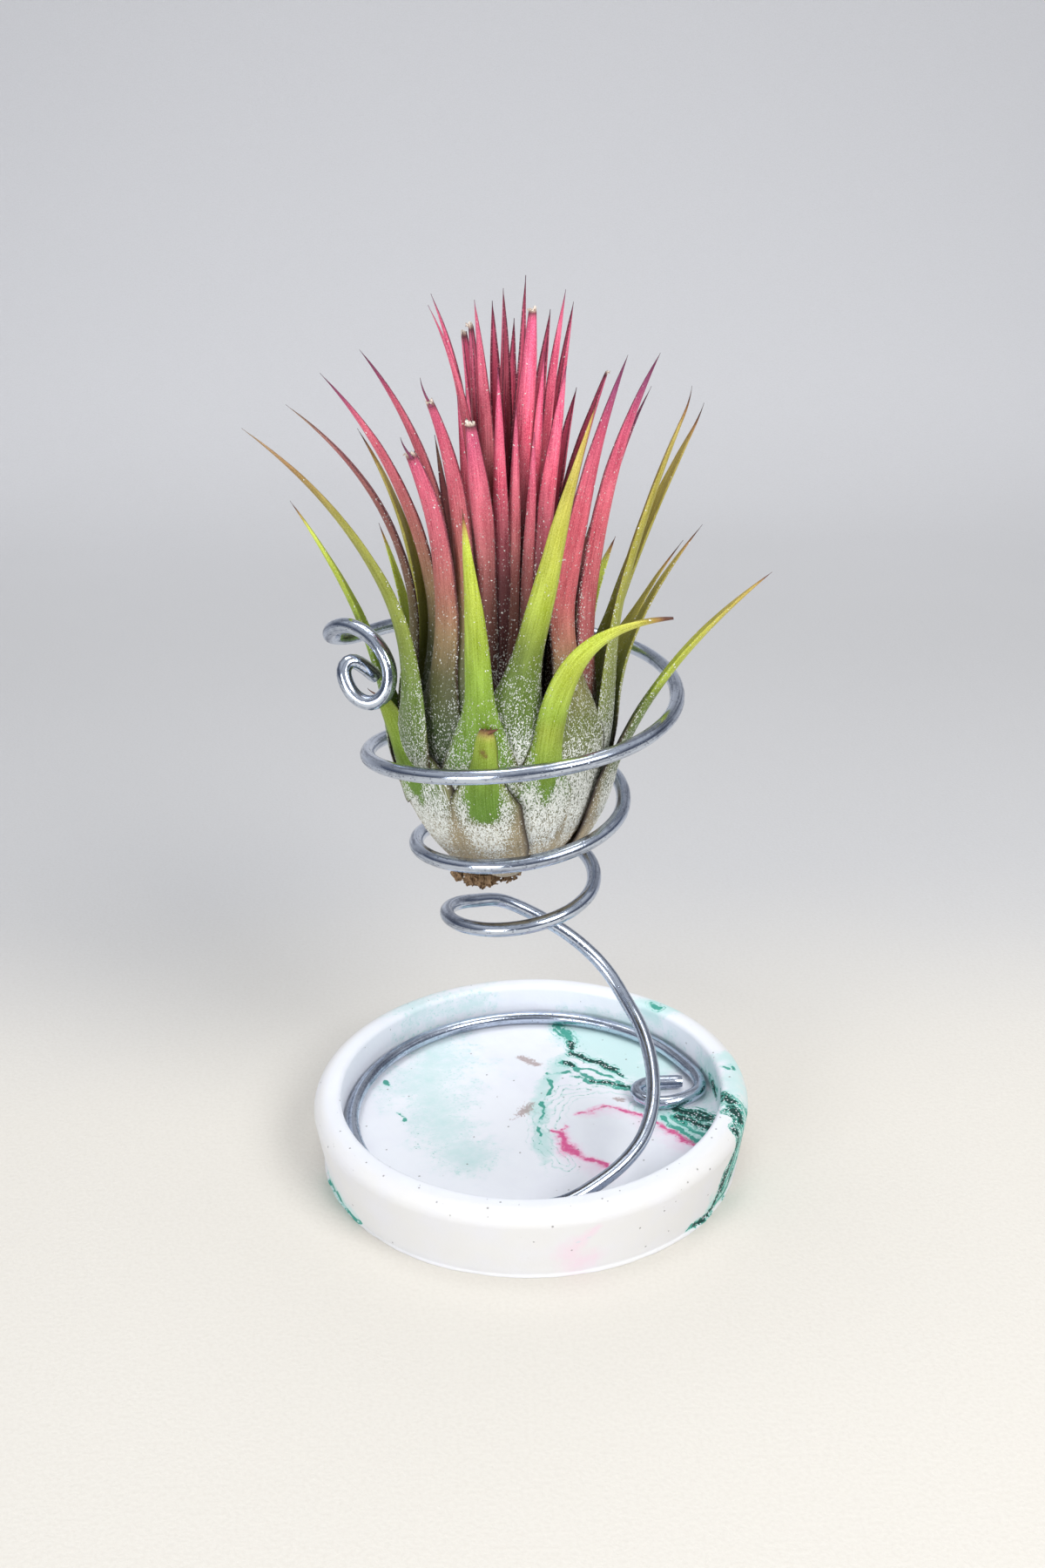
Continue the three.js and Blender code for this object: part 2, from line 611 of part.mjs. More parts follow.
// The core that the heart leaves stand in
function heartCore() {
  const positions = [];
  const triangles = [];
  const lowest = inPlant(new THREE.Vector3(), HEART_BOTTOM);
  positions.push(...lowest.toArray());
  for (let ring = 1; ring < HEART_RINGS; ring += 1) {
    const height = THREE.MathUtils.lerp(HEART_BOTTOM, HEART_TOP, ring / HEART_RINGS);
    const radius = Math.min(
      HEART_RADIUS,
      bulbRadius(height) - HEART_INSET,
      HEART_RADIUS * Math.sqrt(Math.max(0, (HEART_TOP - height) / (HEART_TOP - BULB_BELLY_HEIGHT))),
    );
    for (let side = 0; side < HEART_SIDES; side += 1) {
      const flat = radial((360 * side) / HEART_SIDES).multiplyScalar(radius);
      positions.push(...inPlant(flat, height).toArray());
    }
  }
  positions.push(...inPlant(new THREE.Vector3(), HEART_TOP).toArray());
  const top = positions.length / 3 - 1;
  const corner = (ring, side) => 1 + (ring - 1) * HEART_SIDES + (side % HEART_SIDES);
  for (let side = 0; side < HEART_SIDES; side += 1) {
    triangles.push(0, corner(1, side + 1), corner(1, side));
    for (let ring = 1; ring < HEART_RINGS - 1; ring += 1) {
      triangles.push(corner(ring, side), corner(ring, side + 1), corner(ring + 1, side + 1));
      triangles.push(corner(ring, side), corner(ring + 1, side + 1), corner(ring + 1, side));
    }
    triangles.push(corner(HEART_RINGS - 1, side), corner(HEART_RINGS - 1, side + 1), top);
  }
  return solid({ positions, triangles });
}

// Ragged dried foot: an uneven plug with points of old sheath hanging from it
function makeFoot() {
  const random = randomSource(FOOT_SEED);
  const positions = [];
  const triangles = [];
  const lastRing = FOOT_RINGS.length - 1;
  FOOT_RINGS.forEach(({ depth, radius, rough }, ring) => {
    for (let side = 0; side < FOOT_POINTS; side += 1) {
      const uneven = 1 + rough * (2 * random() - 1);
      const hang = ring === lastRing ? FOOT_DEPTH * FOOT_HANG * random() : 0;
      const flat = radial((360 * side) / FOOT_POINTS).multiplyScalar(FOOT_RADIUS * radius * uneven);
      positions.push(FOOT_X + flat.x, flat.y, PLANT_Z + FOOT_TOP - FOOT_DEPTH * depth - hang);
    }
  });
  const topCentre = positions.length / 3;
  positions.push(FOOT_X, 0, PLANT_Z + FOOT_TOP);
  const lowCentre = topCentre + 1;
  positions.push(FOOT_X, 0, PLANT_Z + FOOT_TOP - FOOT_DEPTH * FOOT_HOLLOW);
  const corner = (ring, side) => ring * FOOT_POINTS + (side % FOOT_POINTS);
  for (let side = 0; side < FOOT_POINTS; side += 1) {
    triangles.push(topCentre, corner(0, side), corner(0, side + 1));
    for (let ring = 0; ring < lastRing; ring += 1) {
      triangles.push(corner(ring, side), corner(ring + 1, side), corner(ring + 1, side + 1));
      triangles.push(corner(ring, side), corner(ring + 1, side + 1), corner(ring, side + 1));
    }
    triangles.push(lowCentre, corner(lastRing, side + 1), corner(lastRing, side));
  }
  return named(geometryOf(solid({ positions, triangles })), 'dried_foot', FINISHES.foot);
}

function leafFinish(leaf) {
  const [right, , up] = leaf.tip;
  if (up > PINK_HEIGHT && Math.abs(right) < PINK_REACH) {
    return FINISHES.leafPink;
  }
  return up > OLIVE_HEIGHT ? FINISHES.leafOlive : FINISHES.leafGreen;
}

// Leaves are cut clear of those outside them, so each keeps its own space
function makePlant() {
  const meshes = [];
  const placed = [];
  const clearOfPlaced = (body) => {
    const near = placed.filter((space) => overlapsBox(body, space));
    return largestPiece(near.reduce((rest, space) => rest.subtract(space), body));
  };
  for (const leaf of [...OUTER_LEAVES, ...backLeaves()].sort((a, b) => a.layer - b.layer)) {
    const stations = outerStations(leaf);
    const whole = leaf.cut === undefined;
    const body = clearOfPlaced(solid(bladeMesh(stations, LEAF_COLUMNS, whole)));
    placed.push(solid(bladeMesh(stations, LEAF_COLUMNS, whole, LEAF_GAP)));
    meshes.push(named(geometryOf(body), leaf.name, leafFinish(leaf)));
  }
  let heart = heartCore();
  for (const leaf of HEART_LEAVES) {
    const blade = bladeMesh(heartStations(leaf), HEART_LEAF_COLUMNS, leaf.cut === undefined);
    heart = heart.add(solid(blade));
  }
  meshes.push(named(geometryOf(clearOfPlaced(heart)), 'heart_leaves', FINISHES.leafPink));
  return meshes;
}

const group = new THREE.Group();
group.add(makeDish(), makeWire(), makeFoot(), ...makePlant());

export default group;
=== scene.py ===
"""Sky plant with a blushing heart, held by a spiral of wire that stands in a marbled cast dish."""

import math

import bpy
import numpy as np
from mathutils import Matrix, Vector


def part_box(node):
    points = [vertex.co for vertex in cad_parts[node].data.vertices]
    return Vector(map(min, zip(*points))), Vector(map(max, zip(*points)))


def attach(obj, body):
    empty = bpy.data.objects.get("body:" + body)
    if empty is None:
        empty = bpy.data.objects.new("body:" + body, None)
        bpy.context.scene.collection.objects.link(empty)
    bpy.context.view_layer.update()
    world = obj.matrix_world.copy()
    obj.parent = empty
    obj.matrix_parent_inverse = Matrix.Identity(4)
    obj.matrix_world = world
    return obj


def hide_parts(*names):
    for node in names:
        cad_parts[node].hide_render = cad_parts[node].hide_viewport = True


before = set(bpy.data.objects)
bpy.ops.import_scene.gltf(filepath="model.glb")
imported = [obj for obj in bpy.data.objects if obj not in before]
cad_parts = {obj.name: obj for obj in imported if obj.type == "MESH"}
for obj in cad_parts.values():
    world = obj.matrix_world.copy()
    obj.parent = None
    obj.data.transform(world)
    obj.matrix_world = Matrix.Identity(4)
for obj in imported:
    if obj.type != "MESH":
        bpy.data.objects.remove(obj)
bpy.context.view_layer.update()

bl_info = {
    "name": "Sky plant in a wire stand",
    "version": (1, 0, 0),
    "blender": (4, 5, 0),
    "location": "3D View > Sidebar > Sky plant",
    "description": "Makes a small air plant, its spiral wire stand and the marbled dish under it",
    "category": "Add Mesh",
}

MM = 0.001
PER_SQUARE_METRE = 1e6
UP = np.array([0.0, 0.0, 1.0])

# Plant: its foot, its lean, the outline of its bulb and the layers of sheaths inside it, in millimetres
PLANT_X = -4.4
PLANT_Z = 57.3
LEAN = math.tan(math.radians(3.3))
BULB_RADIUS = 20
BULB_BELLY = 28
BULB_FULLNESS = 0.42
BULB_BOTTOM = 0.6
BULB_SHIFT = 1.6
BULB_SHIFT_END = 25
FLARE_HEIGHT = 20
LAYER_PITCH = 1.15
WAIST_HEIGHT = 52
WAIST_OUTSIDE = 19.3
WAIST_PITCH = 2
STEM_RADIUS = 4.2
HOOK_START = 0.93
SHEATH_STATIONS = 16
BLADE_STATIONS = 64
HEART_STATIONS = 52
FILLER_STATIONS = 40
OUTER_COLUMNS = 13
HEART_COLUMNS = 11
FILLER_COLUMNS = 9
SHRED_COLUMNS = 5
GOLDEN_ANGLE = 137.5
SHEATH_WIDTH = 14.4
SHEATH_TOP = 27
SHEATH_END = 46
SHEATH_MAX_ANGLE = 24
SHEATH_CROWN = 0.72
CHANNEL_ANGLE = 66
HEART_CHANNEL_ANGLE = 100
HEART_ROOT_HEIGHT = 26
USUAL_TAPER = 5

# Outer leaves. tip is right, back and up from the plant's foot. root is the sheath's azimuth, and layer or
# shown how deep it lies. waist is the radius that the leaf closes to above the belly, bow how late it turns
# outwards and droop how far it bends over. width is the blade's and sheath half the sheath's; taper and cut
# shape the point. narrow is the height where the sheath starts to narrow and where the blade is free. twist
# and face turn the blade and curl moves its tip. end, spike and spots are its torn or dried end, the sliver
# on it and its brown marks. dress names the colours. frost is the height where the dense scurf ends and the
# one where the last of it ends. tongue is the height, half width and pointedness of the bare strip that runs
# down into the scurf.
OUTER_LEAVES = {
    "leaf_front_stub": dict(
        tip=(-3.5, -20, 34), root=-101, layer=0, bow=2, width=4.4, taper=6, cut=0.92, sheath=6.2,
        narrow=(19, 30), dress="lime", frost=(26, 33), tongue=(16.6, 2.7, 4), end="dry",
        spike=(1.5, 0, 0.5), spots=((-0.2, 30.2, 0.8), (0.3, 29.6, 0.6)),
    ),
    "leaf_left_stub": dict(
        tip=(-22, 0.5, 33), root=-137, layer=0, bow=1.2, width=5.4, taper=5, cut=0.93, narrow=(19, 30),
        dress="lime", frost=(24, 30), tongue=(18, 2.6, 1.5), end="dry", spike=(-1.6, 0.4, 1.4), face=0.2,
    ),
    "leaf_right_far": dict(
        tip=(42.5, 0, 53), root=-14, layer=0, waist=19, bow=1.6, width=4.2, taper=3.6, narrow=(20, 36),
        dress="citron", frost=(22, 40), slot="leaf_green",
    ),
    "leaf_left_back": dict(
        tip=(-37, 8, 64.5), root=168, layer=0, waist=19, bow=1.6, width=4.2, taper=3.4, twist=20,
        narrow=(22, 38), dress="lime", frost=(25, 44),
    ),
    "leaf_right_olive_back": dict(
        tip=(29.5, 17, 54), root=36, layer=0, bow=1.8, width=2.5, taper=2.5, dress="olive", frost=(25, 42),
    ),
    "leaf_front_arching": dict(
        tip=(25, -18, 51), root=-69, layer=1, waist=18, bow=2.35, droop=0.8, width=5.2, taper=4.4, cut=0.96,
        sheath=6.4, narrow=(20, 32), dress="lime", frost=(26, 33), tongue=(20, 2.5, 1.3),
    ),
    "leaf_left_far": dict(
        tip=(-41.5, -14, 81), root=-150, layer=1, bow=2.6, width=4.6, taper=3.4, twist=16, sheath=6,
        dress="russet", frost=(27, 50),
    ),
    "leaf_front_lime": dict(
        tip=(-8, -22, 70), root=-103, layer=1, waist=18.5, bow=1.5, width=5.5, taper=2.1, narrow=(24, 40),
        dress="lime", frost=(27, 44),
    ),
    "leaf_right_olive": dict(
        tip=(32, 12, 58), root=16, layer=1, waist=18, bow=2.1, width=2.7, taper=3.4, narrow=(24, 40),
        dress="olive", frost=(27, 46),
    ),
    "leaf_front_long": dict(
        tip=(11.5, -16, 84.5), root=-94, layer=2, waist=16, bow=1.15, width=6.3, taper=1.6,
        narrow=(27, 46), dress="citron", frost=(33, 52), slot="leaf_pink",
    ),
    "leaf_left_mauve": dict(
        tip=(-37, 4, 81), root=-172, layer=2, waist=15.5, bow=3.8, width=4.4, taper=4, twist=18,
        dress="dusk", frost=(27, 54),
    ),
    "leaf_right_tall": dict(
        tip=(28.5, 6, 82), root=-12, layer=2, waist=15.5, bow=1.8, width=5, taper=3, twist=-14,
        narrow=(34, 62), dress="olive", frost=(31, 52), curl=(-0.7, 0, 0.3),
    ),
    "leaf_right_slope": dict(
        tip=(16.5, -4, 89), root=-48, layer=3, waist=11.7, bow=2.2, width=5.5, taper=4.4, twist=-14,
        dress="slope", frost=(29, 52), shown=1.25,
    ),
    "leaf_left_broken": dict(
        tip=(-17, -9, 75.5), root=-138, layer=3, waist=14.8, bow=4, width=5.6, taper=8, cut=0.9, twist=16,
        dress="rose", frost=(26, 46), end="torn", spike=(-1.4, 0.4, 3.4), slot="leaf_olive",
    ),
    "leaf_right_twin": dict(
        tip=(31, 12, 78), root=26, layer=3, waist=16, bow=1.6, width=4, taper=3.4,
        dress="olive", frost=(29, 50), curl=(-0.3, 0, 0.4),
    ),
    "leaf_left_green": dict(
        tip=(-26, 9, 76), root=160, layer=3, waist=15, bow=2.8, width=4, taper=3.6,
        dress="olive", frost=(26, 48), slot="leaf_green",
    ),
    "leaf_right_dark": dict(
        tip=(14, 14, 61), root=48, layer=3, bow=1.8, width=2.8, taper=3, dress="dusk", frost=(26, 46),
    ),
    "leaf_left_pink": dict(
        tip=(-30.5, -6, 87.5), root=-160, layer=4, waist=12.8, bow=3.1, width=4.9, taper=3.6, twist=28,
        dress="rose", frost=(27, 54),
    ),
    "leaf_right_pink": dict(
        tip=(21.5, -3, 89), root=-20, layer=4, waist=13.8, bow=3.3, width=5.8, taper=4.4, twist=-24,
        dress="warm", frost=(31, 56),
    ),
    "leaf_front_broken": dict(
        tip=(-14, -11, 83.8), root=-130, layer=4, waist=12.5, bow=4.4, width=4.3, taper=8, cut=0.9,
        dress="rose", frost=(27, 47), end="torn", spike=(-1.2, 0, 4.5),
    ),
    "leaf_left_tall": dict(
        tip=(-25, 0, 90), root=-178, layer=5, waist=10, bow=3.4, width=5.4, taper=4, twist=34,
        dress="rose", frost=(28, 54),
    ),
    "leaf_right_tall_back": dict(
        tip=(21.5, 8, 82), root=12, layer=5, waist=12, bow=2.8, width=3.6, taper=3.4,
        dress="warm", frost=(28, 52),
    ),
}

# The back of the rosette: azimuths step by a rule, with seeded unevenness
BACK_LEAVES = dict(
    count=12, seed=11, layers=5, layer_step=2, azimuth=(56, 150), reach=33, reach_per_layer=-4, up=54,
    up_per_layer=7, uneven=3, turn=6, bow=(1.8, 2.6), width=(3.2, 4.2), taper=(2, 3.5),
)

# Leaves of the heart: tip, root as azimuth and distance, bow, width, and taper and cut where they differ
HEART_LEAVES = [
    ((0.5, 1, 100.5), (60, 1.5), 1.5, 3.2, 3),
    ((-3, 2, 98.5), (150, 2.5), 1.5, 3.1),
    ((1.7, -6, 96.5), (-75, 4.5), 1.5, 3.3, 8, 0.93),
    ((6.6, -1, 98.5), (-12, 4), 1.8, 3.3),
    ((-7.3, -3, 97.5), (-155, 4.5), 2, 3.3),
    ((4.6, 7, 94.5), (55, 5), 1.6, 3.1),
    ((-4.6, 7, 96), (122, 5), 1.6, 3.1),
    ((-8.2, 3, 93), (152, 6), 2, 3, 8, 0.93),
    ((8.1, 4, 96), (24, 6), 2, 3.2),
    ((-3.4, -10, 88.5), (-106, 7), 1.6, 3.5, 3),
    ((-14.3, -4, 97), (-152, 8), 5, 3.5, 3),
    ((-14.1, 1, 98), (178, 7), 4, 3),
    ((-9.3, 9, 91), (135, 7), 2, 3, 8, 0.93),
    ((-7.6, -14, 81), (-118, 8.5), 2, 3.6, 8, 0.9),
    ((-1, 9, 93), (98, 7), 1.6, 2.9),
    ((9.6, 11, 81.5), (48, 7.5), 1.8, 2.9),
    ((14.3, 8, 84.5), (28, 8), 2.5, 3.1, 5, 0.95),
    ((7, -7, 88), (-50, 7.5), 1.5, 3.3),
]

# Thinner leaves between them, with tip and root alone
HEART_FILLERS = [
    ((-0.4, -7.2, 82), (-88, 6.8)),
    ((3.6, -5.5, 90), (-60, 6.2)),
    ((-9.5, -7, 84), (-140, 8.5)),
]

# Colours up a blade, as the share of its height above the sheath and a colour of 0 to 255
DRESSES = {
    "lime": [
        (0, (70, 110, 30)), (0.15, (90, 130, 32)), (0.33, (118, 154, 34)), (0.48, (140, 172, 36)),
        (0.71, (176, 192, 44)), (0.88, (204, 220, 62)), (1, (210, 200, 80)),
    ],
    "citron": [
        (0, (62, 84, 34)), (0.2, (84, 110, 36)), (0.34, (94, 118, 36)), (0.42, (114, 132, 38)),
        (0.52, (174, 192, 52)), (0.7, (192, 192, 62)), (0.88, (200, 178, 76)), (1, (204, 164, 70)),
    ],
    "olive": [
        (0, (72, 88, 40)), (0.2, (114, 128, 50)), (0.4, (150, 158, 58)), (0.6, (172, 166, 60)),
        (0.75, (178, 166, 64)), (0.9, (188, 168, 76)), (1, (150, 110, 70)),
    ],
    "russet": [
        (0, (66, 88, 36)), (0.3, (104, 130, 46)), (0.55, (142, 152, 54)), (0.75, (164, 160, 66)),
        (0.9, (164, 124, 72)), (1, (176, 146, 106)),
    ],
    "dusk": [
        (0, (50, 60, 34)), (0.25, (78, 88, 46)), (0.5, (118, 100, 66)), (0.7, (156, 92, 84)),
        (0.88, (170, 96, 96)), (1, (176, 138, 106)),
    ],
    "rose": [
        (0, (54, 68, 36)), (0.23, (70, 88, 44)), (0.38, (94, 94, 54)), (0.5, (150, 122, 84)),
        (0.62, (172, 102, 88)), (0.78, (196, 84, 100)), (0.92, (208, 78, 108)), (1, (202, 74, 116)),
    ],
    "slope": [
        (0, (66, 80, 40)), (0.2, (108, 118, 58)), (0.3, (136, 130, 72)), (0.38, (172, 110, 88)),
        (0.48, (202, 88, 96)), (0.66, (208, 80, 100)), (0.85, (200, 72, 106)), (1, (190, 70, 112)),
    ],
    "warm": [
        (0, (62, 68, 40)), (0.16, (96, 82, 56)), (0.31, (150, 82, 78)), (0.49, (190, 86, 94)),
        (0.66, (212, 82, 102)), (0.85, (212, 78, 114)), (1, (204, 76, 122)),
    ],
    "heart": [
        (0, (46, 28, 24)), (0.34, (64, 34, 32)), (0.52, (96, 46, 50)), (0.64, (164, 72, 86)),
        (0.76, (224, 82, 112)), (0.9, (234, 88, 128)), (1, (222, 84, 130)),
    ],
    "mauve": [
        (0, (46, 30, 24)), (0.34, (72, 46, 38)), (0.52, (110, 66, 58)), (0.64, (160, 86, 86)),
        (0.76, (198, 88, 104)), (0.88, (214, 86, 116)), (1, (206, 82, 124)),
    ],
    "crumb": [(0, (226, 212, 198)), (1, (226, 212, 198))],
}

# Colours of a tip, by the distance from its end in millimetres
TIPS = {
    "lime": [(0, (88, 50, 38)), (1.4, (112, 66, 44)), (2.6, (184, 142, 66)), (6, (200, 190, 80))],
    "olive": [(0, (60, 40, 32)), (2.2, (92, 58, 42)), (4.4, (176, 126, 70)), (9, (196, 176, 78))],
    "russet": [(0, (110, 84, 60)), (1.5, (172, 142, 104)), (6, (170, 134, 90)), (9, (164, 130, 76))],
    "dusk": [(0, (44, 36, 32)), (1, (150, 120, 90)), (5, (176, 140, 108)), (8, (158, 96, 86))],
    "rose": [(0, (66, 40, 52)), (1.4, (110, 52, 84)), (5, (154, 60, 100)), (11, (200, 74, 112))],
}
TIPS["warm"] = TIPS["slope"] = TIPS["rose"][:2] + [(6, (152, 62, 108)), (14, (196, 72, 112))]
TIPS["heart"] = [(0, (70, 40, 62)), (0.8, (124, 52, 88)), (2, (182, 66, 104)), (5, (226, 86, 122))]
TIPS["mauve"] = [(0, (96, 54, 84)), (0.8, (150, 66, 98)), (2, (196, 80, 110)), (4, (220, 90, 124))]
TIPS["citron"] = TIPS["lime"]
TIPS["crumb"] = [(0, (176, 140, 116)), (0.4, (228, 216, 204))]
DRY_END = [(0, (110, 78, 46)), (0.5, (150, 120, 62)), (1.4, (176, 176, 72)), (2.6, (160, 182, 58))]
TORN_END = [(0, (226, 214, 200)), (0.3, (206, 176, 160)), (0.6, (104, 46, 60)), (2, (200, 82, 110))]
TONGUE = [(16, (84, 124, 24)), (22, (100, 138, 28)), (27, (128, 158, 36)), (33, (154, 170, 44))]
SPOT_COLOUR = (122, 84, 44)
BARE_COLOUR = (166, 150, 118)
SEAM_COLOUR = (122, 96, 78)
# Painted shadow: the dark line along a sheath's edge, in the gap where it meets the next sheath
SEAM_SHADOW_COLOUR = (46, 32, 28)
PINKS = ("rose", "warm", "slope", "heart", "mauve")
BLADE_START = 18

# How dark the margins of each kind of leaf are, and the name of a slot listed for an outer leaf of the kind
RIMS = dict(
    rose=0.9, warm=0.9, slope=0.9, heart=0.9, mauve=0.9, dusk=0.8, russet=0.5, olive=0.35, citron=0.25,
    lime=0.15, crumb=0,
)
SLOTS = dict(
    lime="leaf_green", olive="leaf_olive", russet="leaf_olive", dusk="leaf_olive", rose="leaf_pink",
    warm="leaf_pink", slope="leaf_pink",
)

# Skin of the sheaths under their scurf, by height
SHEATH_SKIN = [
    (0, (150, 128, 94)), (11, (168, 152, 118)), (15, (138, 130, 96)), (19, (96, 98, 66)), (24, (58, 70, 38)),
]

# Wire: the curl at the top, the closing turns as azimuth, radius and height, the leg, and the hook that
# lies in the dish
CURL = [
    (-24.1, -1.5, 94), (-26.1, -2.2, 96.3), (-28.2, -2.8, 97.7), (-29.4, -3.6, 96.5), (-28.9, -4.6, 94.2),
    (-27.4, -5.6, 92), (-24.7, -6.4, 91.2), (-22.3, -6.8, 93), (-21.5, -6.3, 96.6), (-22.8, -5, 100),
    (-25.3, -2.8, 102.1), (-28.7, 0.2, 102.7), (-31.5, 3.5, 101.1), (-32.3, 7.2, 98.5), (-29.6, 11.2, 97),
]
TURNS = [
    (137, 28.6, 96.2), (90, 28.6, 93.6), (41, 29.8, 91.2), (0, 28.4, 89.4), (-45, 27.2, 87.8),
    (-90, 26, 86.2), (-135, 24.9, 83.7), (-180, 23.9, 80.6), (-270, 21.6, 75.4), (-360, 19.5, 70.5),
    (-450, 17.8, 66.8), (-540, 16.5, 63.7), (-630, 15.4, 60), (-720, 14.4, 55.6), (-810, 12.9, 52.5),
    (-900, 11.7, 49.7), (-950, 11, 47.2),
]
LEG = [
    (-4.8, 12.4, 45.2), (1, 12.8, 42.2), (6.7, 11.5, 39), (10.7, 10.3, 36), (14.6, 8, 32.4),
    (17.8, 4, 28.4), (20.4, -1, 25.2), (21.6, -7.5, 22.7), (21.6, -14, 20.5), (20.7, -19, 18.3),
    (18.8, -23, 16.1), (15.8, -26.4, 14.4), (12.4, -29, 13),
]
HOOK = [
    (32.1, 9.2), (31.8, 5), (28.6, 2.4), (24.4, 1.1), (20.8, 2.8), (19.9, 5.9), (22.4, 8), (26, 8.2),
    (28.9, 8.3),
]
SPIRAL_CENTRE_X = -2.4
TURN_STEP = 15
WIRE_SIDES = 20
LOOP_RADIUS = 33.2
LOOP_CENTRE_X = 0.1
LOOP_HEIGHT = 7.85
LOOP_START_HEIGHT = 10.8
LOOP_AZIMUTHS = (-82, -135, -346)

# Marbling of the dish. Each line is a list of x, y, z and half width; two numbers less are on the floor.
FLOOR = 6.3
LINE_GAP = 20
TEAL_LINES = [
    [(3.6, 14.8, 0.55), (3.9, 9.3, 0.35), (2.3, 3.7, 0.4), (1.8, -0.3, 0.35), (1.4, -8.1, 0.25)],
    [(6.0, 32, 1.4), (7.4, 29, 1.9), (8.2, 26.6, 1.2)],
    [(10, 20.4, 0.8), (13.2, 17.6, 0.9), (16.4, 15, 0.7), (18.6, 12.8, 0.4)],
    [(5.8, 18.6, 0.9), (7.9, 16.9, 1.0), (9.4, 15.4, 0.6)],
    [(9.2, 16, 0.5), (11.6, 15.6, 0.45), (14, 14.2, 0.5), (16.2, 12.4, 0.45), (17.6, 10.6, 0.35)],
    [(9.2, 15.4, 0.5), (10.8, 13.3, 0.6), (13, 11.8, 0.55), (15.4, 10.9, 0.45), (17.6, 10.4, 0.35)],
    [(3.8, 14.5, 0.5), (7.7, 15, 0.35), (11.2, 11.4, 0.4), (15, 9.5, 0.4), (19.1, 7.6, 0.5)],
    [(-27.6, 12.6, 0.5), (-27.2, 11.2, 0.4)],
    [(-24.8, 1.8, 0.4), (-24.2, 0.6, 0.3), (-23.6, -1.1, 0.5)],
    [(24.2, -1.1, 0.6), (27.2, -5.2, 0.8), (29.8, -9.1, 0.9)],
    [(25.6, -0.6, 0.6), (29.2, -4.8, 0.8), (32, -8.4, 0.9)],
    [(34.6, 12.3, 8, 0.8), (34.9, 9.3, 9, 1.2), (34.5, 5.2, 9, 1.0), (34.6, 1, 10, 0.8)],
    [(24.2, 27.4, 13.8, 0.9), (26.2, 25.8, 13.9, 0.8)],
    [(37.2, -12.4, 12.6, 1.2), (36.6, -14.6, 9.4, 1.3), (35.4, -17, 6, 1.2), (33.8, -19.6, 3, 1.0)],
    [(35.9, 3.4, 14, 0.7), (36.6, 2.2, 14, 0.5)],
    [(37.6, 3.4, 13.9, 0.8), (37.8, 2.4, 13.9, 0.4)],
    [(34.8, -7.6, 13.4, 1.1), (36.6, -8.2, 14, 1.6), (38.3, -9.6, 13.4, 1.5), (39, -11.4, 12, 1.2)],
    [(39.2, -8.4, 11.5, 1.3), (38.6, -10.2, 8, 1.5), (37, -13.4, 5, 1.4), (35, -16.8, 2.4, 1.2)],
    [(35.2, -16.6, 2, 1.1), (33.1, -19.7, 1.2, 0.8), (30.1, -24, 1.1, 0.6), (26.6, -27.8, 0.9, 0.4)],
    [(-34.2, -17.6, 0.8, 0.9), (-32.4, -20.6, 0.7, 0.6), (-30, -24, 0.7, 0.4)],
    [(-37.6, -8, 1.2, 0.7), (-36, -13.6, 1.0, 1.0), (-34.2, -17.6, 0.8, 0.9)],
]
INK_LINES = [
    [(8.0, 25.6, 0.7), (8.6, 21.8, 0.9), (12.1, 18.9, 0.8), (15.4, 16.6, 0.75), (18.3, 13.4, 0.4)],
    [(6.2, 19.6, 0.5), (7.9, 16.9, 0.6)],
    [(12, 11.6, 0.4), (14.6, 10.6, 0.5), (18, 9.3, 0.6), (20.6, 7.8, 0.4)],
    [(24.4, 2.4, 0.6), (27.8, 0.6, 1.3), (31.8, -1.2, 1.7), (34.9, -2.6, 1.0)],
    [(27, -0.9, 0.8), (30.4, -3.4, 1.1), (32.8, -5.4, 1.2)],
    [(34.8, 8, 9, 0.8), (34.6, 5, 8.6, 1.1), (34.5, 2.5, 8.4, 0.8)],
    [(34.9, -3, 12, 0.9), (35, -6, 13.4, 1.2), (36.6, -8.6, 14, 1.0)],
    [(35, -11.6, 13.8, 0.7), (36, -11.4, 14, 1.4), (37.6, -11.2, 13.8, 1.7), (37, -14.4, 13.6, 1.2)],
    [(36.3, -15.5, 13.4, 1.1), (36.2, -17, 10, 1.2), (34.6, -19.3, 6.7, 1.1), (33.2, -20.6, 3.4, 1.1)],
    [(33.2, -20.6, 3.4, 0.8), (31.3, -22.6, 0.9, 0.8), (28, -26.4, 0.8, 0.4)],
    [(38.6, -10.4, 10, 0.7), (37.4, -13.4, 6, 0.8), (35.2, -17, 3, 0.8)],
]
BLUSH_LINES = [
    [(8.4, 0.6, 0.4), (11.8, 1.9, 0.6), (14.2, 2.7, 0.7), (18.3, 0.8, 0.7), (20.8, -1, 0.6)],
    [(20.8, -1, 0.7), (24.6, -4.2, 0.9), (27.6, -8.2, 1.2), (29.7, -10.8, 0.7)],
    [(4.2, -4.3, 0.5), (5.4, -5.4, 0.8), (5.6, -8.8, 1.2), (7.3, -11, 1.4), (8.6, -12.6, 0.9)],
    [(8.6, -12.6, 0.8), (9.7, -13.8, 0.7), (12.9, -15.8, 0.9), (14.4, -18, 0.8)],
    [(5.2, -5, 0.4), (6.8, -3.6, 0.4), (6.4, -1.8, 0.3)],
]
BLUSH_WASHES = [
    [(9, 0.6, 1.2), (13.8, 1.4, 1.6), (18.3, -0.2, 1.6), (24.6, -6.2, 2.6), (27.6, -10.4, 2.6)],
    [(5.4, -5.2, 1.7), (6.2, -9.8, 2.4), (9.7, -15, 2.6), (12.9, -18, 3)],
    [(5.9, -38.6, 4.7, 2.4), (7.6, -38.6, 7.5, 1.6), (10.9, -38, 10.4, 0.9)],
    [(6.3, -38.3, 2.6, 2.6), (10, -37.6, 3.4, 2)],
]
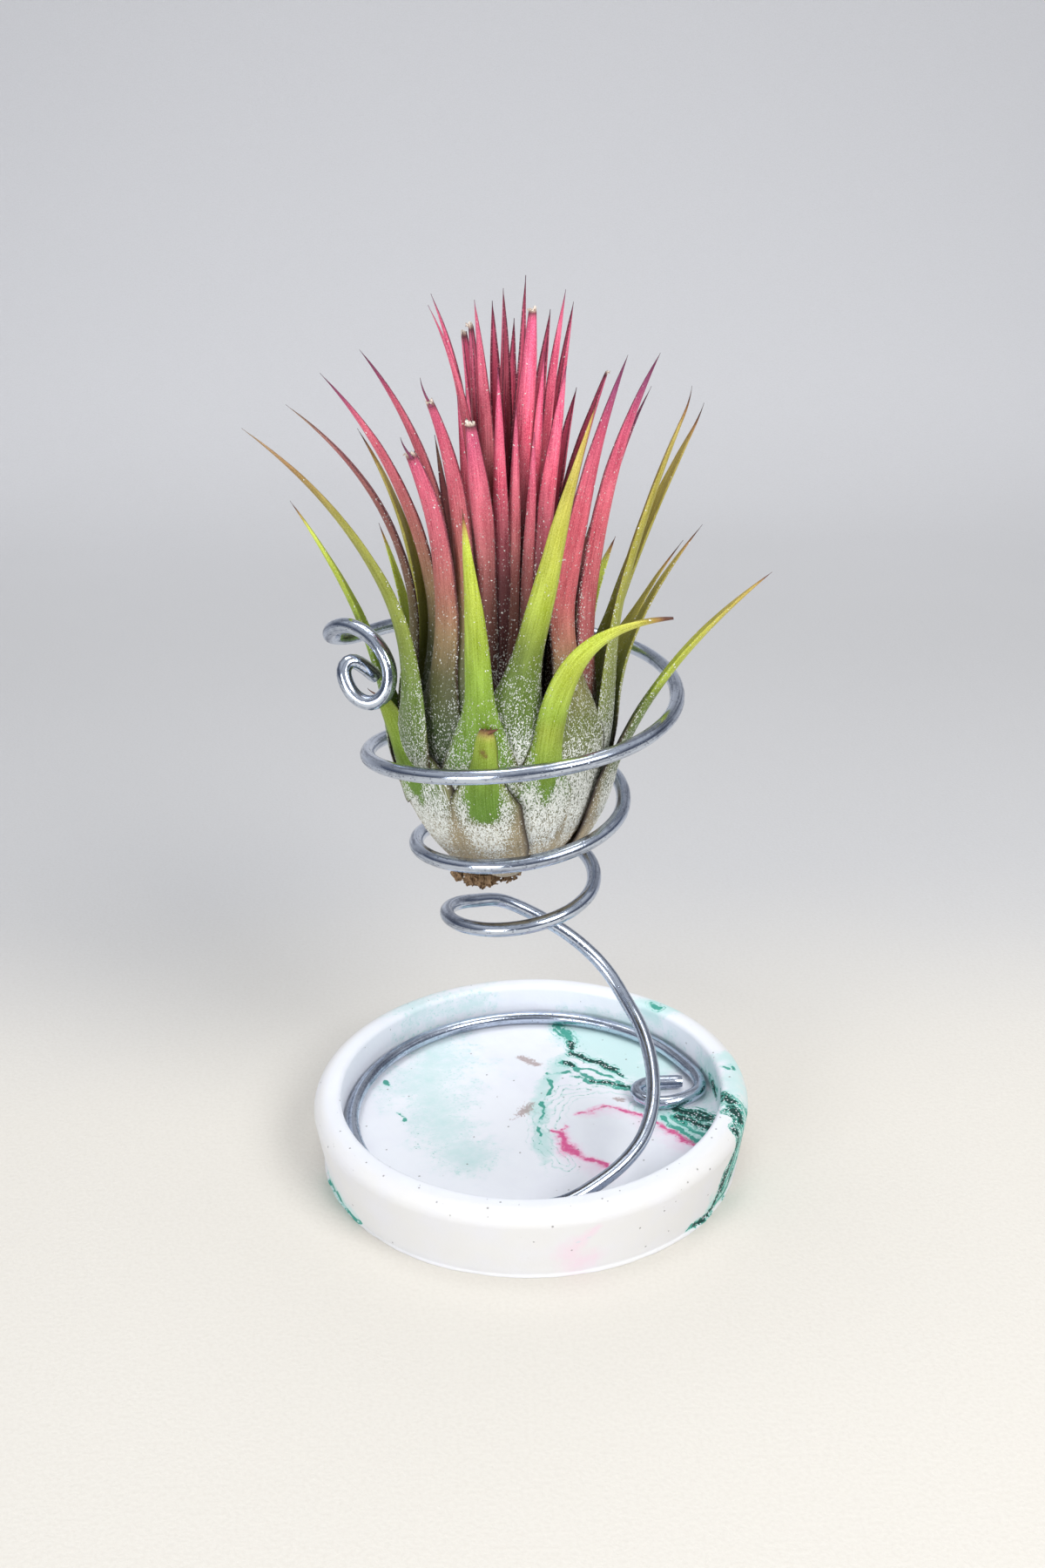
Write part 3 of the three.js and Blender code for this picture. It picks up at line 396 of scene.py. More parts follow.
AQUA_WASHES = [
    [(-19.5, 26, 10), (-19, 17, 10.5), (-18.6, 7, 9), (-16, -3, 8), (-12, -14, 7)],
    [(-27, 26, 12, 4), (-18, 32, 12, 4.5), (-9, 34, 12, 3.6)],
    [(12, 26, 5), (18, 21, 6.5), (20.4, 16.6, 5.6), (22, 12.6, 3.6)],
    [(9, 29.6, 4), (19, 26.6, 4), (26, 19, 4)],
    [(5.4, 19, 2), (4.4, 14, 2), (3.2, 8, 1.8), (1.4, 1, 1.6), (1.2, -8, 1.7), (2.6, -14, 1.4)],
    [(22, 2, 2), (27, -2.6, 3.2), (32.4, -6.6, 3.4)],
    [(34.4, 12, 9, 3), (34.8, 4, 10, 3), (34.8, -5, 10, 3)],
    [(24, 27.6, 13.4, 2.6), (28, 24.6, 13.4, 2)],
    [(37.4, 6, 13.6, 2.2), (38.2, -4, 13, 2.4), (39, -9, 9, 3), (36.4, -15.6, 6, 3.2), (32, -22, 2.6, 2)],
    [(9, -38.4, 8.6, 0.6), (7.6, -38.6, 6.8, 0.4)],
    [(-34.4, -17.4, 2, 2.4), (-36.8, -12, 3, 2), (-31, -23.4, 1.4, 1.4)],
]
SPECK_LINES = [
    [
        (-28.4, 20, 1.2), (-28, 12.6, 1.4), (-25.4, 6, 1.4), (-23.8, -1, 1.6), (-20, -8.6, 1.5),
        (-17.4, -13.8, 1.6),
    ],
    [(-20, 29.6, 11, 1.2), (-11, 33, 11, 1.4)],
    [(-12.6, -13, 1.2), (-10.6, -17.4, 1.2)],
    [(3.6, 14, 1.6), (2.4, 3, 1.5), (1.4, -8, 1.4)],
    [(6, 32, 2.4), (10, 22, 2.4), (18, 13.6, 1.8)],
    [(24, 28, 13.6, 1.8), (27, 25.4, 13.8, 1.6)],
    [(24, 1, 1.6), (34, -4.6, 2.4)],
    [(36, -7, 14, 2.6), (38.6, -11, 11, 2.6), (35, -17, 5, 2.4), (31, -23, 1.6, 1.6)],
    [(35, 9, 10, 2.2), (35, 2, 11, 2.2)],
]
EARTH_MARKS = [
    [(-2.4, 0.8, 1.0), (-0.9, 2.7, 1.5), (0.3, 3.8, 1.0)],
    [(-3.6, -0.8, 0.5), (-2.2, 0, 0.6)],
    [(-1.6, 20.6, 1.0), (-0.1, 19.2, 1.2), (1.4, 18, 0.8)],
    [(16.4, 5.6, 0.7), (17.6, 5.0, 0.6)],
]
STREAMS = [
    [(22, 7.8), (17.4, 9.4), (12, 9.8), (7.4, 8), (4, 3.6), (2.4, -1.8), (2.6, -8), (5.4, -15)],
    [(21, 1.8), (26, -2.6), (31.6, -8.6)],
    [(38, -14.4, 13), (36, -16.6, 8), (33.4, -20.4, 3)],
]

# Stage in metres and degrees. A light is its name, place, goal, size and colour.
CAMERA_PLACE = (-0.0003, -0.2748, 0.1905)
CAMERA_PITCH = 23.04
CAMERA_ROLL = -1.19
STAGE_HALF_WIDTH = 1.6
STAGE_FRONT = -1.2
SWEEP_START = 0.42
SWEEP_RADIUS = 0.5
WALL_TOP = 1.6
LIGHTS = (
    ("key", (0.36, -0.4, 0.5), (0, 0, 0.08), (0.34, 0.3), (1.0, 0.99, 0.97)),
    ("fill", (-0.44, -0.62, 0.2), (0, 0, 0.08), (0.4, 0.3), (0.97, 0.985, 1.0)),
    ("top", (-0.05, 0.16, 0.85), (0, 0.02, 0.05), (0.6, 0.5), (0.97, 0.98, 1.0)),
)


def linear(colour):
    """Scene-linear value of a colour given as numbers of 0 to 255."""
    share = np.asarray(colour, float) / 255
    return np.where(share <= 0.04045, share / 12.92, ((share + 0.055) / 1.055) ** 2.4)


def shade(red, green, blue):
    """Scene-linear colour as a plain tuple, for a property or a socket."""
    return tuple(float(x) for x in linear((red, green, blue)))


def length_of(name, description, default):
    """A length in metres, as a property."""
    return bpy.props.FloatProperty(
        name=name, description=description, default=default, subtype="DISTANCE", unit="LENGTH"
    )


def paint_of(name, description, red, green, blue):
    """A colour, as a property."""
    return bpy.props.FloatVectorProperty(
        name=name, description=description, default=shade(red, green, blue), subtype="COLOR"
    )


def power_of(name, description, default):
    """The power of a light, as a property."""
    return bpy.props.FloatProperty(
        name=name, description=description, default=default, subtype="POWER", unit="POWER"
    )


class DishSettings(bpy.types.PropertyGroup):
    """Sizes and colours of the cast dish."""

    radius: length_of("Radius", "Outside radius at the rim", 0.040)
    foot_radius: length_of("Foot radius", "Outside radius at the foot", 0.0384)
    height: length_of("Height", "Height of the rim", 0.014)
    wall: length_of("Wall", "Thickness of the wall", 0.005)
    rim_round: length_of("Rim rounding", "Radius of the rim's outer rounding", 0.0028)
    inner_round: length_of("Inner rounding", "Radius of the rim's inner edge", 0.001)
    flash: length_of("Casting lip", "Widest reach of the thin lip left at the foot by casting", 0.0006)
    white: paint_of("Cast white", "Colour of the plain cast inside", 238, 241, 247)
    outside: paint_of("Outside", "Colour of the plain cast outside", 226, 225, 224)
    aqua: paint_of("Aqua", "Colour of the pale washes", 192, 226, 224)
    teal: paint_of("Teal", "Colour of the green veins", 36, 150, 132)
    ink: paint_of("Ink", "Colour of the darkest veins", 16, 54, 50)
    blush: paint_of("Pink", "Colour of the pink veins", 214, 52, 130)
    earth: paint_of("Brown", "Colour of the brown smudges", 158, 128, 122)


class WireSettings(bpy.types.PropertyGroup):
    """Size and colour of the wire stand."""

    diameter: length_of("Diameter", "Thickness of the wire", 0.0025)
    step: length_of("Step", "Distance between two sections", 0.0008)
    colour: paint_of("Zinc", "Colour of the bright zinc", 198, 207, 222)
    # The dull zinc is a real mark, but its dark blue also stands in for the dark reflected band: partly
    # painted reflection
    dull: paint_of("Dull zinc", "Colour of the dull streaks and pits", 54, 66, 94)


class PlantSettings(bpy.types.PropertyGroup):
    """Sizes and colours of the plant."""

    leaf_thickness: length_of("Leaf thickness", "Thickness of a leaf along its middle", 0.00075)
    margin_thickness: length_of("Margin thickness", "Thickness of a leaf at its margin", 0.0002)
    silver: paint_of("Scurf", "Colour of the silvery scales", 245, 248, 245)
    cream: paint_of("Old scurf", "Colour of the scales low on the bulb", 212, 204, 176)
    margin: paint_of("Margin", "Colour of the thin dark line along a leaf", 62, 28, 42)
    scale_density: bpy.props.FloatProperty(
        name="Scales", description="Raised scales on a square millimetre where they are dense", default=4.5
    )
    scale_size: length_of("Scale size", "Width of a raised scale", 0.0003)
    foot_colour: paint_of("Dried foot", "Colour of the withered sheaths", 192, 160, 122)


class StageSettings(bpy.types.PropertyGroup):
    """Floor, light and camera."""

    floor: paint_of("Floor", "Colour of the floor", 220, 216, 208)
    # Painted shade: a greyer band on the floor behind the dish, where less light falls
    floor_shade: paint_of("Haze", "Colour of the floor behind the dish", 199, 199, 200)
    wall: paint_of("Wall", "Colour of the backdrop", 224, 224, 226)
    key_power: power_of("Key light", "Power of the large light at the upper right", 3.0)
    fill_power: power_of("Fill light", "Power of the low light at the front left", 2.6)
    top_power: power_of("Top light", "Power of the light overhead", 2.7)
    lens: bpy.props.FloatProperty(
        name="Lens", description="Focal length of the camera", default=40.0, subtype="DISTANCE_CAMERA",
        unit="CAMERA",
    )


def socket_of(sockets, key):
    """A socket by its number, identifier or name."""
    if isinstance(key, int):
        return sockets[key]
    for socket in sockets:
        if socket.identifier == key:
            return socket
    return sockets[key]


class Term:
    """A socket's value, for sums and products written as expressions."""

    def __init__(self, plan, node, key=0):
        self.plan = plan
        self.node = node
        self.socket = socket_of(node.outputs, key)

    def out(self, key):
        return Term(self.plan, self.node, key)

    def __add__(self, other):
        return self.plan.math("ADD", self, other)

    def __radd__(self, other):
        return self.plan.math("ADD", other, self)

    def __sub__(self, other):
        return self.plan.math("SUBTRACT", self, other)

    def __rsub__(self, other):
        return self.plan.math("SUBTRACT", other, self)

    def __mul__(self, other):
        return self.plan.math("MULTIPLY", self, other)

    def __rmul__(self, other):
        return self.plan.math("MULTIPLY", other, self)

    def __gt__(self, other):
        return self.plan.math("GREATER_THAN", self, other)


class Plan:
    """A node tree, of a material or of geometry, that is written as expressions."""

    def __init__(self, tree):
        self.tree = tree
        self.labels = {}

    def node(self, kind, values=None, out=0, **settings):
        """A new node with its settings and inputs, as the term of one of its outputs."""
        made = self.tree.nodes.new(kind)
        for key, value in settings.items():
            setattr(made, key, value)
        for key, value in (values or {}).items():
            socket = socket_of(made.inputs, key)
            if isinstance(value, Term):
                self.tree.links.new(value.socket, socket)
            else:
                socket.default_value = value
        return Term(self, made, out) if made.outputs else made

    def math(self, operation, *terms):
        return self.node("ShaderNodeMath", dict(enumerate(terms)), operation=operation)

    def rise(self, term, low, high):
        """0 below low and 1 above high, with a soft change between them."""
        values = {"Value": term, "From Min": low, "From Max": high}
        return self.node("ShaderNodeMapRange", values, "Result", interpolation_type="SMOOTHSTEP")

    def fall(self, term, low, high):
        """1 below low and 0 above high."""
        return 1.0 - self.rise(term, low, high)

    def mix(self, share, first, second):
        """Two colours mixed, each of them a term or plain numbers."""
        ends = [end if isinstance(end, Term) else (*tuple(end)[:3], 1.0) for end in (first, second)]
        values = {"Factor_Float": share, "A_Color": ends[0], "B_Color": ends[1]}
        return self.node("ShaderNodeMix", values, "Result_Color", data_type="RGBA")

    def coat(self, colour, paint, share, term, low, high):
        """A colour with a paint over it, up to a share, where the term rises from low to high."""
        return self.mix(self.rise(term, low, high) * share, colour, paint)

    def toned(self, colour, value, saturation):
        values = {"Color": colour, "Value": value, "Saturation": saturation}
        return self.node("ShaderNodeHueSaturation", values, "Color")

    def stretched(self, vector, scale):
        return self.node("ShaderNodeVectorMath", {0: vector, 1: scale}, operation="MULTIPLY")

    def noise(self, vector, scale, detail=2.0, roughness=0.5):
        values = {"Vector": vector, "Scale": scale, "Detail": detail, "Roughness": roughness}
        return self.node("ShaderNodeTexNoise", values, "Fac")

    def grain(self, vector, stretch, detail=2.0, roughness=0.5):
        """Noise that is finer or coarser in each direction."""
        return self.noise(self.stretched(vector, stretch), 1.0, detail, roughness)

    def cells(self, vector, scale):
        """Distance from the middle of the nearest cell."""
        return self.node("ShaderNodeTexVoronoi", {"Vector": vector, "Scale": scale}, "Distance")

    def lot(self, cell, band):
        """A number of its own for each cell."""
        return self.node("ShaderNodeSeparateColor", {"Color": cell.out("Color")}, band)

    def flecks(self, skin, grid, band, level, size, growth):
        """Separate flecks in cells of a grid, more and larger where the level is higher."""
        cell = self.cells(self.stretched(skin, grid), 1.0)
        taken = self.rise(level - self.lot(cell, band), 0.0, 0.08)
        return taken * self.fall(cell - level * growth, size - 0.12, size + 0.08)

    def field(self, name, out="Fac"):
        """A value that the mesh holds under this name, for a material."""
        return self.node("ShaderNodeAttribute", None, out, attribute_name=name)

    def place(self):
        return self.node("ShaderNodeTexCoord", None, "Object")

    def skin(self):
        return self.node("ShaderNodeUVMap", None, "UV", uv_map="skin")

    def part(self, vector, axis):
        return self.node("ShaderNodeSeparateXYZ", {"Vector": vector}, axis)

    def finish(self, values, height=None, depth=0.0001, strength=1.0):
        """Ends a material in one shader, with a relief where a height is given."""
        if height is not None:
            relief = {"Height": height, "Distance": depth, "Strength": strength}
            values["Normal"] = self.node("ShaderNodeBump", relief, "Normal")
        shader = self.node("ShaderNodeBsdfPrincipled", values, "BSDF")
        self.node("ShaderNodeOutputMaterial", {"Surface": shader})

    def input(self, label, kind, value=None):
        """A named input of a geometry tree."""
        item = self.tree.interface.new_socket(label, in_out="INPUT", socket_type=kind)
        if value is not None:
            item.default_value = value
        self.labels[label] = item.identifier

    def held(self, name):
        """A value that the mesh holds under this name, for a geometry tree."""
        return self.node("GeometryNodeInputNamedAttribute", {"Name": name}, "Attribute", data_type="FLOAT")

    def stored(self, geometry, name, value, kind):
        """Geometry that holds a value under this name at each of its points."""
        values = {"Geometry": geometry, "Name": name, "Value": value}
        settings = {"data_type": kind, "domain": "POINT"}
        return self.node("GeometryNodeStoreNamedAttribute", values, "Geometry", **settings)

    def close(self, geometry, material):
        """Ends a geometry tree, with instances made real and a material set."""
        real = self.node("GeometryNodeRealizeInstances", {"Geometry": geometry}, "Geometry")
        dressed = self.node("GeometryNodeSetMaterial", {"Geometry": real, "Material": material}, "Geometry")
        self.node("NodeGroupOutput", {"Geometry": dressed})


def new_material(name):
    material = bpy.data.materials.new(name)
    material.use_nodes = True
    material.node_tree.nodes.clear()
    return material, Plan(material.node_tree)


def dish_material(settings):
    """Matt cast with pale washes, speckled veins, fine swirling lines, and pits with painted shade in them.
    """
    material, plan = new_material("cast_dish_marbled")
    place = plan.place()
    grit = plan.noise(place, 3600.0, 2.0, 0.6)
    fine = plan.noise(place, 1500.0, 3.0, 0.62)
    medium = plan.noise(place, 560.0, 3.0, 0.6)
    broad = plan.noise(place, 130.0)
    grains = plan.cells(place, 2100.0)
    mottle = (medium - 0.5) * 0.8 + (fine - 0.5) * 0.7 + (grit - 0.5) * 0.5
    run = plan.field("run", "Vector")
    streak = plan.grain(run, (0.6, 3.4, 1.0), 3.0, 0.6)
    ragged = (streak - 0.5) * 1.5 + mottle * 0.6 + (0.5 - grains) * 0.35
    beside = plan.math("SINE", plan.part(run, "Y") * 6.2 + (streak - 0.5) * 7.0) * 0.12
    torn = ragged * 0.8 + beside
    deep_aqua = shade(136, 210, 200)
    colour = plan.mix(plan.field("outer"), settings.white, settings.outside)
    colour = plan.coat(colour, shade(226, 227, 239), 0.3, broad, 0.35, 0.75)

    aqua = plan.field("aqua") + (medium - 0.5) * 0.5 + (broad - 0.5) * 0.5
    colour = plan.coat(colour, settings.aqua, 0.8, aqua, 0.22, 0.8)
    edge = plan.rise(aqua, 0.3, 0.42) * plan.fall(aqua, 0.42, 0.6)
    colour = plan.mix(edge * plan.rise(fine, 0.5, 0.7) * 0.4, colour, deep_aqua)
    wash = plan.field("blush_wash") + (medium - 0.5) * 0.6
    colour = plan.coat(colour, shade(246, 186, 218), 0.36, wash, 0.2, 1.3)

    stream = plan.field("stream")
    bands = plan.math("SINE", (stream + (broad - 0.5) * 0.5 + (medium - 0.5) * 0.16) * 24.0)
    near = plan.rise(stream, 0.2, 0.6)
    lines = plan.rise(bands + mottle * 1.8, 0.4, 1.1) * near
    colour = plan.mix(lines * 0.42, colour, shade(164, 214, 208))
    dots = plan.rise(bands + ragged * 1.8, 1.15, 1.4) * near
    colour = plan.mix(dots * 0.8, colour, settings.teal)
    where = plan.field("specks")
    specks = plan.rise(where * 0.4 + mottle * 0.8 + (0.4 - grains) * 0.5, 0.5, 0.56)
    colour = plan.mix(specks * plan.rise(where, 0.1, 0.4) * 0.85, colour, settings.teal)

    blush = plan.field("blush") + (medium - 0.5) * 0.7 + (fine - 0.5) * 0.7
    colour = plan.coat(colour, shade(242, 140, 192), 0.4, blush, 0.15, 0.7)
    colour = plan.coat(colour, settings.blush, 0.85, blush, 0.52, 0.86)
    vein = plan.field("teal")
    teal = vein + torn * plan.rise(vein, 0.02, 0.3)
    colour = plan.coat(colour, deep_aqua, 0.5, teal, 0.15, 0.55)
    colour = plan.coat(colour, settings.teal, 0.88, teal, 0.5, 0.68)
    dark = plan.field("ink")
    ink = dark + torn * plan.rise(dark, 0.02, 0.3)
    colour = plan.coat(colour, deep_aqua, 0.5, ink, 0.18, 0.42)
    colour = plan.coat(colour, settings.teal, 0.9, ink, 0.4, 0.54)
    colour = plan.coat(colour, settings.ink, 0.94, ink, 0.6, 0.7)
    light = plan.rise(dark, 0.25, 0.5) * plan.fall(plan.cells(place, 1900.0), 0.22, 0.36)
    colour = plan.mix(light * 0.85, colour, settings.white)
    brown = plan.field("earth")
    earth = brown + ragged * plan.rise(brown, 0.02, 0.3) * 0.9
    colour = plan.coat(colour, settings.earth, 0.7, earth, 0.45, 0.8)

    pit = plan.cells(place, 950.0)
    chosen = plan.rise(plan.lot(pit, "Red") + plan.field("worn") * 0.2, 0.95, 0.97)
    hole = plan.fall(pit, 0.12, 0.22) * chosen
    # Painted shade: the pits are painted grey for the shade inside the small holes
    colour = plan.mix(hole * 0.6, colour, shade(116, 108, 108))
    height = fine * 0.3 + medium * 0.35 - hole * 2.2
    values = {"Base Color": colour, "Roughness": 0.58 + medium * 0.25, "Specular IOR Level": 0.35}
    plan.finish(values, height, 0.00022, 0.55)
    return material


def wire_material(settings):
    """Galvanised wire, with streaks along its length, dull patches and fine pits, whose dark blue is partly
    painted reflection and shade.
    """
    material, plan = new_material("galvanised_wire_drawn")
    around = plan.field("around", "Vector")
    grit = plan.noise(around, 1.0, 3.0, 0.65)
    streaks = plan.grain(around, (3.0, 3.0, 0.06), 3.0, 0.6)
    patches = plan.grain(around, (0.7, 0.7, 0.12))
    pit = plan.cells(plan.stretched(around, (2.6, 2.6, 1.5)), 1.0)
    hole = plan.fall(pit, 0.12, 0.34) * plan.rise(plan.lot(pit, "Green"), 0.5, 0.75)
    dull = plan.rise(streaks * 0.6 + patches * 0.5 + (grit - 0.5) * 0.25, 0.48, 0.72)
    # Dull streaks are real patches of the zinc, in a dark blue that is partly painted reflection of a dark
    # room
    colour = plan.mix(dull * 0.66, settings.colour, settings.dull)
    # Painted shade: the pits are painted darker for the shade inside them
    colour = plan.mix(hole * 0.75, colour, shade(52, 60, 84))
    rough = 0.1 + dull * 0.14 + hole * 0.2 + grit * 0.06
    height = streaks * 0.6 + grit * 0.35 - hole * 0.9
    plan.finish({"Base Color": colour, "Metallic": 1.0, "Roughness": rough}, height, 0.00005, 0.4)
    return material


def leaf_material(settings):
    """Leaf skin: a tint with fine grain and faint veins, painted glints, dark margins and flecks of silvery
    scurf.
    """
    material, plan = new_material("leaf_skin")
    skin = plan.skin()
    tint = plan.field("tint", "Color")
    scurf = plan.field("scurf")
    grain = plan.grain(skin, (6.0, 3.4, 1.0), 2.0, 0.6)
    veins = plan.grain(skin, (4.5, 0.12, 1.0))
    patches = plan.grain(skin, (0.8, 0.16, 1.0))
    gaps = plan.grain(skin, (2.2, 1.1, 1.0), 3.0, 0.65)
    tone = plan.rise(veins * 0.52 + patches * 0.3 + grain * 0.44, 0.38, 0.9)
    colour = plan.mix(tone, plan.toned(tint, 0.6, 1.08), plan.toned(tint, 1.38, 0.9))
    colour = plan.coat(colour, settings.margin, 0.8, plan.field("rim") + (grain - 0.5) * 0.4, 0.3, 0.8)
    # Painted glints: fine specks of paler, less saturated tint that stand in for sparkle of light on the
    # leaf
    spark = plan.cells(plan.stretched(skin, (7.5, 5.2, 1.0)), 1.0)
    painted_glint = plan.fall(spark, 0.3, 0.55) * plan.rise(plan.lot(spark, "Red"), 0.4, 0.65)
    colour = plan.mix(painted_glint * 0.4, colour, plan.toned(tint, 1.8, 0.78))

    level = scurf + (gaps - 0.5) * (0.16 + scurf)
    fleck = plan.flecks(skin, (4.2, 2.5, 1.0), "Blue", level, 0.28, 0.34)
    dust = plan.flecks(skin, (7.4, 4.2, 1.0), "Green", level * 0.85, 0.3, 0.3)
    cover = plan.rise(level + (grain - 0.5) * 0.9, 1.0, 1.35)
    frost = plan.math("MAXIMUM", plan.math("MAXIMUM", fleck, dust), cover)
    dash = plan.cells(plan.stretched(skin, (3.1, 1.3, 1.0)), 1.0)
    bare = plan.fall(dash, 0.3, 0.48) * plan.rise(plan.lot(dash, "Red"), 0.4, 0.55)
    frost = frost * (1.0 - bare * 0.85)
    white = plan.mix(plan.field("old") + (patches - 0.5) * 0.9, settings.silver, settings.cream)
    shaded = plan.mix(plan.rise(grain, 0.28, 0.6), shade(208, 211, 202), white)
    colour = plan.mix(frost * 0.93, colour, shaded)
    values = {
        "Base Color": colour, "Roughness": 0.36 + frost * 0.4 + grain * 0.14, "Specular IOR Level": 0.34,
        "Sheen Weight": 0.02, "Sheen Roughness": 0.4,
    }
    plan.finish(values, frost * 0.9 + grain * 0.6 + veins * 0.4 + painted_glint * 0.3, 0.00014, 0.8)
    return material


def scale_material():
    """Silvery scales, a little uneven in tone."""
    material, plan = new_material("silver_scales")
    tone = plan.rise(plan.noise(plan.place(), 2400.0, 1.0), 0.3, 0.7)
    colour = plan.mix(tone, shade(206, 208, 200), shade(248, 250, 248))
    plan.finish({"Base Color": colour, "Roughness": 0.6, "Specular IOR Level": 0.4})
    return material


def foot_material(settings):
    """Withered sheath: papery brown with dark fibres."""
    material, plan = new_material("dried_sheath_fibres")
    skin = plan.skin()
    fibres = plan.grain(skin, (6.0, 0.7, 1.0), 3.0, 0.6)
    grain = plan.grain(skin, (7.0, 6.0, 1.0))
    tone = plan.rise(fibres * 0.7 + grain * 0.3, 0.3, 0.7)
    colour = plan.mix(tone, shade(88, 62, 44), settings.foot_colour)
    colour = plan.coat(colour, shade(218, 194, 158), 0.5, grain, 0.6, 0.75)
    values = {"Base Color": colour, "Roughness": 0.7 + grain * 0.2}
    plan.finish(values, fibres + grain * 0.4, 0.0002, 0.8)
    return material


def stage_material(settings):
    """Pale floor that turns into the backdrop, with a band of painted shade on the floor behind the dish."""
    material, plan = new_material("pale_sweep")
    place = plan.place()
    weave = plan.noise(place, 1400.0)
    drift = plan.part(place, "Y") + (plan.noise(place, 9.0) - 0.5) * 0.05
    # Painted shade: the floor greys in a band behind the dish, then lightens into the backdrop
    colour = plan.mix(plan.rise(drift, 0.0, 0.13), settings.floor, settings.floor_shade)
    colour = plan.mix(plan.rise(drift, 0.25, 0.62), colour, settings.wall)
    colour = plan.coat(colour, shade(170, 160, 146), 0.08, weave, 0.35, 0.75)
    plan.finish({"Base Color": colour, "Roughness": 0.85}, weave, 0.0003, 0.25)
    return material


def smoothstep(value, low, high):
    share = np.clip((value - low) / (high - low), 0, 1)
    return share * share * (3 - 2 * share)


def between(first, second, share):
    return first + (second - first) * share


def blend(first, second, share):
    """Colours mixed by a share for each point."""
    return between(first, second, share[..., None])


def radial(degrees):
    angle = np.radians(np.asarray(degrees, float))
    return np.stack([np.cos(angle), np.sin(angle), np.zeros_like(angle)], -1)


def unit(vectors):
    return vectors / np.maximum(np.linalg.norm(vectors, axis=-1, keepdims=True), 1e-9)


def tints(stops, position):
    """Scene-linear colour at each position between stops."""
    places = [place for place, _ in stops]
    colours = linear([colour for _, colour in stops])
    return np.stack([np.interp(position, places, colours[:, band]) for band in range(3)], -1)


def ripple(place, seed, longest, waves=4):
    """Smooth unevenness of about -1 to 1 along a length."""
    random = np.random.default_rng(seed)
    total = np.zeros(np.shape(place))
    for wave in range(waves):
        length = longest / 1.7**wave
        total = total + np.sin(2 * np.pi * place / length + random.uniform(0, 6.283)) / (wave + 1)
    return total / 2


def random_source(seed):
    """The plain number sequence that the back of the rosette is set out with."""
    state = seed

    def draw():
        nonlocal state
        state = (state * 1664525 + 1013904223) % 4294967296
        return state / 4294967296

    return draw


def new_object(name, data):
    """An object at the origin, in the scene."""
    made = bpy.data.objects.new(name, data)
    bpy.context.scene.collection.objects.link(made)
    return made


def read(data, key, width=1):
    """The numbers that a mesh holds for its points or corners."""
    values = np.zeros(len(data) * width, np.int32 if key == "vertex_index" else np.float32)
    data.foreach_get(key, values)
    return values.reshape(-1, width) if width > 1 else values


def hold(mesh, name, values):
    """Gives a mesh a number, a place or a colour for each point."""
    values = np.asarray(values, np.float32)
    kind, key = ("FLOAT", "value") if values.ndim == 1 else ("FLOAT_COLOR", "color")
    if key == "color":
        values = np.concatenate([values, np.ones((len(values), 1), np.float32)], 1)
    mesh.attributes.new(name, kind, "POINT").data.foreach_set(key, values.ravel())


def add_piece(name, points, faces, material, fields=None, uv=None):
    """A smooth mesh object from points in millimetres, with values for each point."""
    mesh = bpy.data.meshes.new(name)
    mesh.from_pydata((np.asarray(points) * MM).tolist(), [], [list(face) for face in faces])
    for key, values in (fields or {}).items():
        hold(mesh, key, values)
    if uv is not None:
        corners = read(mesh.loops, "vertex_index")
        layer = mesh.uv_layers.new(name="skin")
        layer.data.foreach_set("uv", np.asarray(uv, np.float32)[corners].ravel())
    mesh.shade_smooth()
    mesh.materials.append(material)
    mesh.validate()
    return new_object(name, mesh)


def grown(base, plan, values, name):
    """The plain mesh object that a geometry tree makes from a base object, which is then removed."""
    modifier = base.modifiers.new("grow", "NODES")
    modifier.node_group = plan.tree
    for label, value in values.items():
        modifier[plan.labels[label]] = value
    base.update_tag()
    graph = bpy.context.evaluated_depsgraph_get()
    mesh = bpy.data.meshes.new_from_object(
        base.evaluated_get(graph), preserve_all_data_layers=True, depsgraph=graph
    )
    base.modifiers.remove(modifier)
    bpy.data.objects.remove(base)
    if not mesh.polygons:
        raise RuntimeError(f"{name} came out empty")
    mesh.name = name
    return new_object(name, mesh)


def geometry_plan(name):
    """A new geometry tree with its input and output."""
    tree = bpy.data.node_groups.new(name, "GeometryNodeTree")
    plan = Plan(tree)
    plan.input("Geometry", "NodeSocketGeometry")
    tree.interface.new_socket("Geometry", in_out="OUTPUT", socket_type="NodeSocketGeometry")
    return plan


def settle(piece, slot, *nodes):
    """Hangs a finished piece on the part."""
    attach(piece, "root")
    if nodes:
        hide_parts(*nodes)


def lengths(points):
    """How far along its course each point lies."""
    return np.concatenate([[0], np.cumsum(np.linalg.norm(np.diff(points, axis=0), axis=1))])


def ring_faces(rows, around):
    """Faces between rings of points."""
    start = np.arange(rows - 1)[:, None] * around
    column = np.arange(around)[None]
    beside = (column + 1) % around
    quads = np.stack([start + column, start + beside, start + around + beside, start + around + column], -1)
    return quads.reshape(-1, 4)


def band_faces(rows, around):
    """Faces of a closed skin through rings of points, whose second half runs back beside the first."""
    last = around - 1
    low = np.array([[k, last - k, last - 1 - k, k + 1] for k in range(around // 2 - 1)])
    return np.concatenate([ring_faces(rows, around), low, low[:, ::-1] + (rows - 1) * around])


# Plant

def bulb_radius(height):
    rise = np.minimum(1, (height - BULB_BOTTOM) / (BULB_BELLY - BULB_BOTTOM))
    return BULB_RADIUS * np.maximum(0, np.sin(rise * np.pi / 2)) ** BULB_FULLNESS


def layer_point(height, depth):
    """Radius and height of a point that lies a depth inside the bulb's outline."""
    slope = (bulb_radius(height + 0.05) - bulb_radius(height)) / 0.05
    length = np.hypot(1, slope)
    return bulb_radius(height) - depth / length, height + depth * slope / length


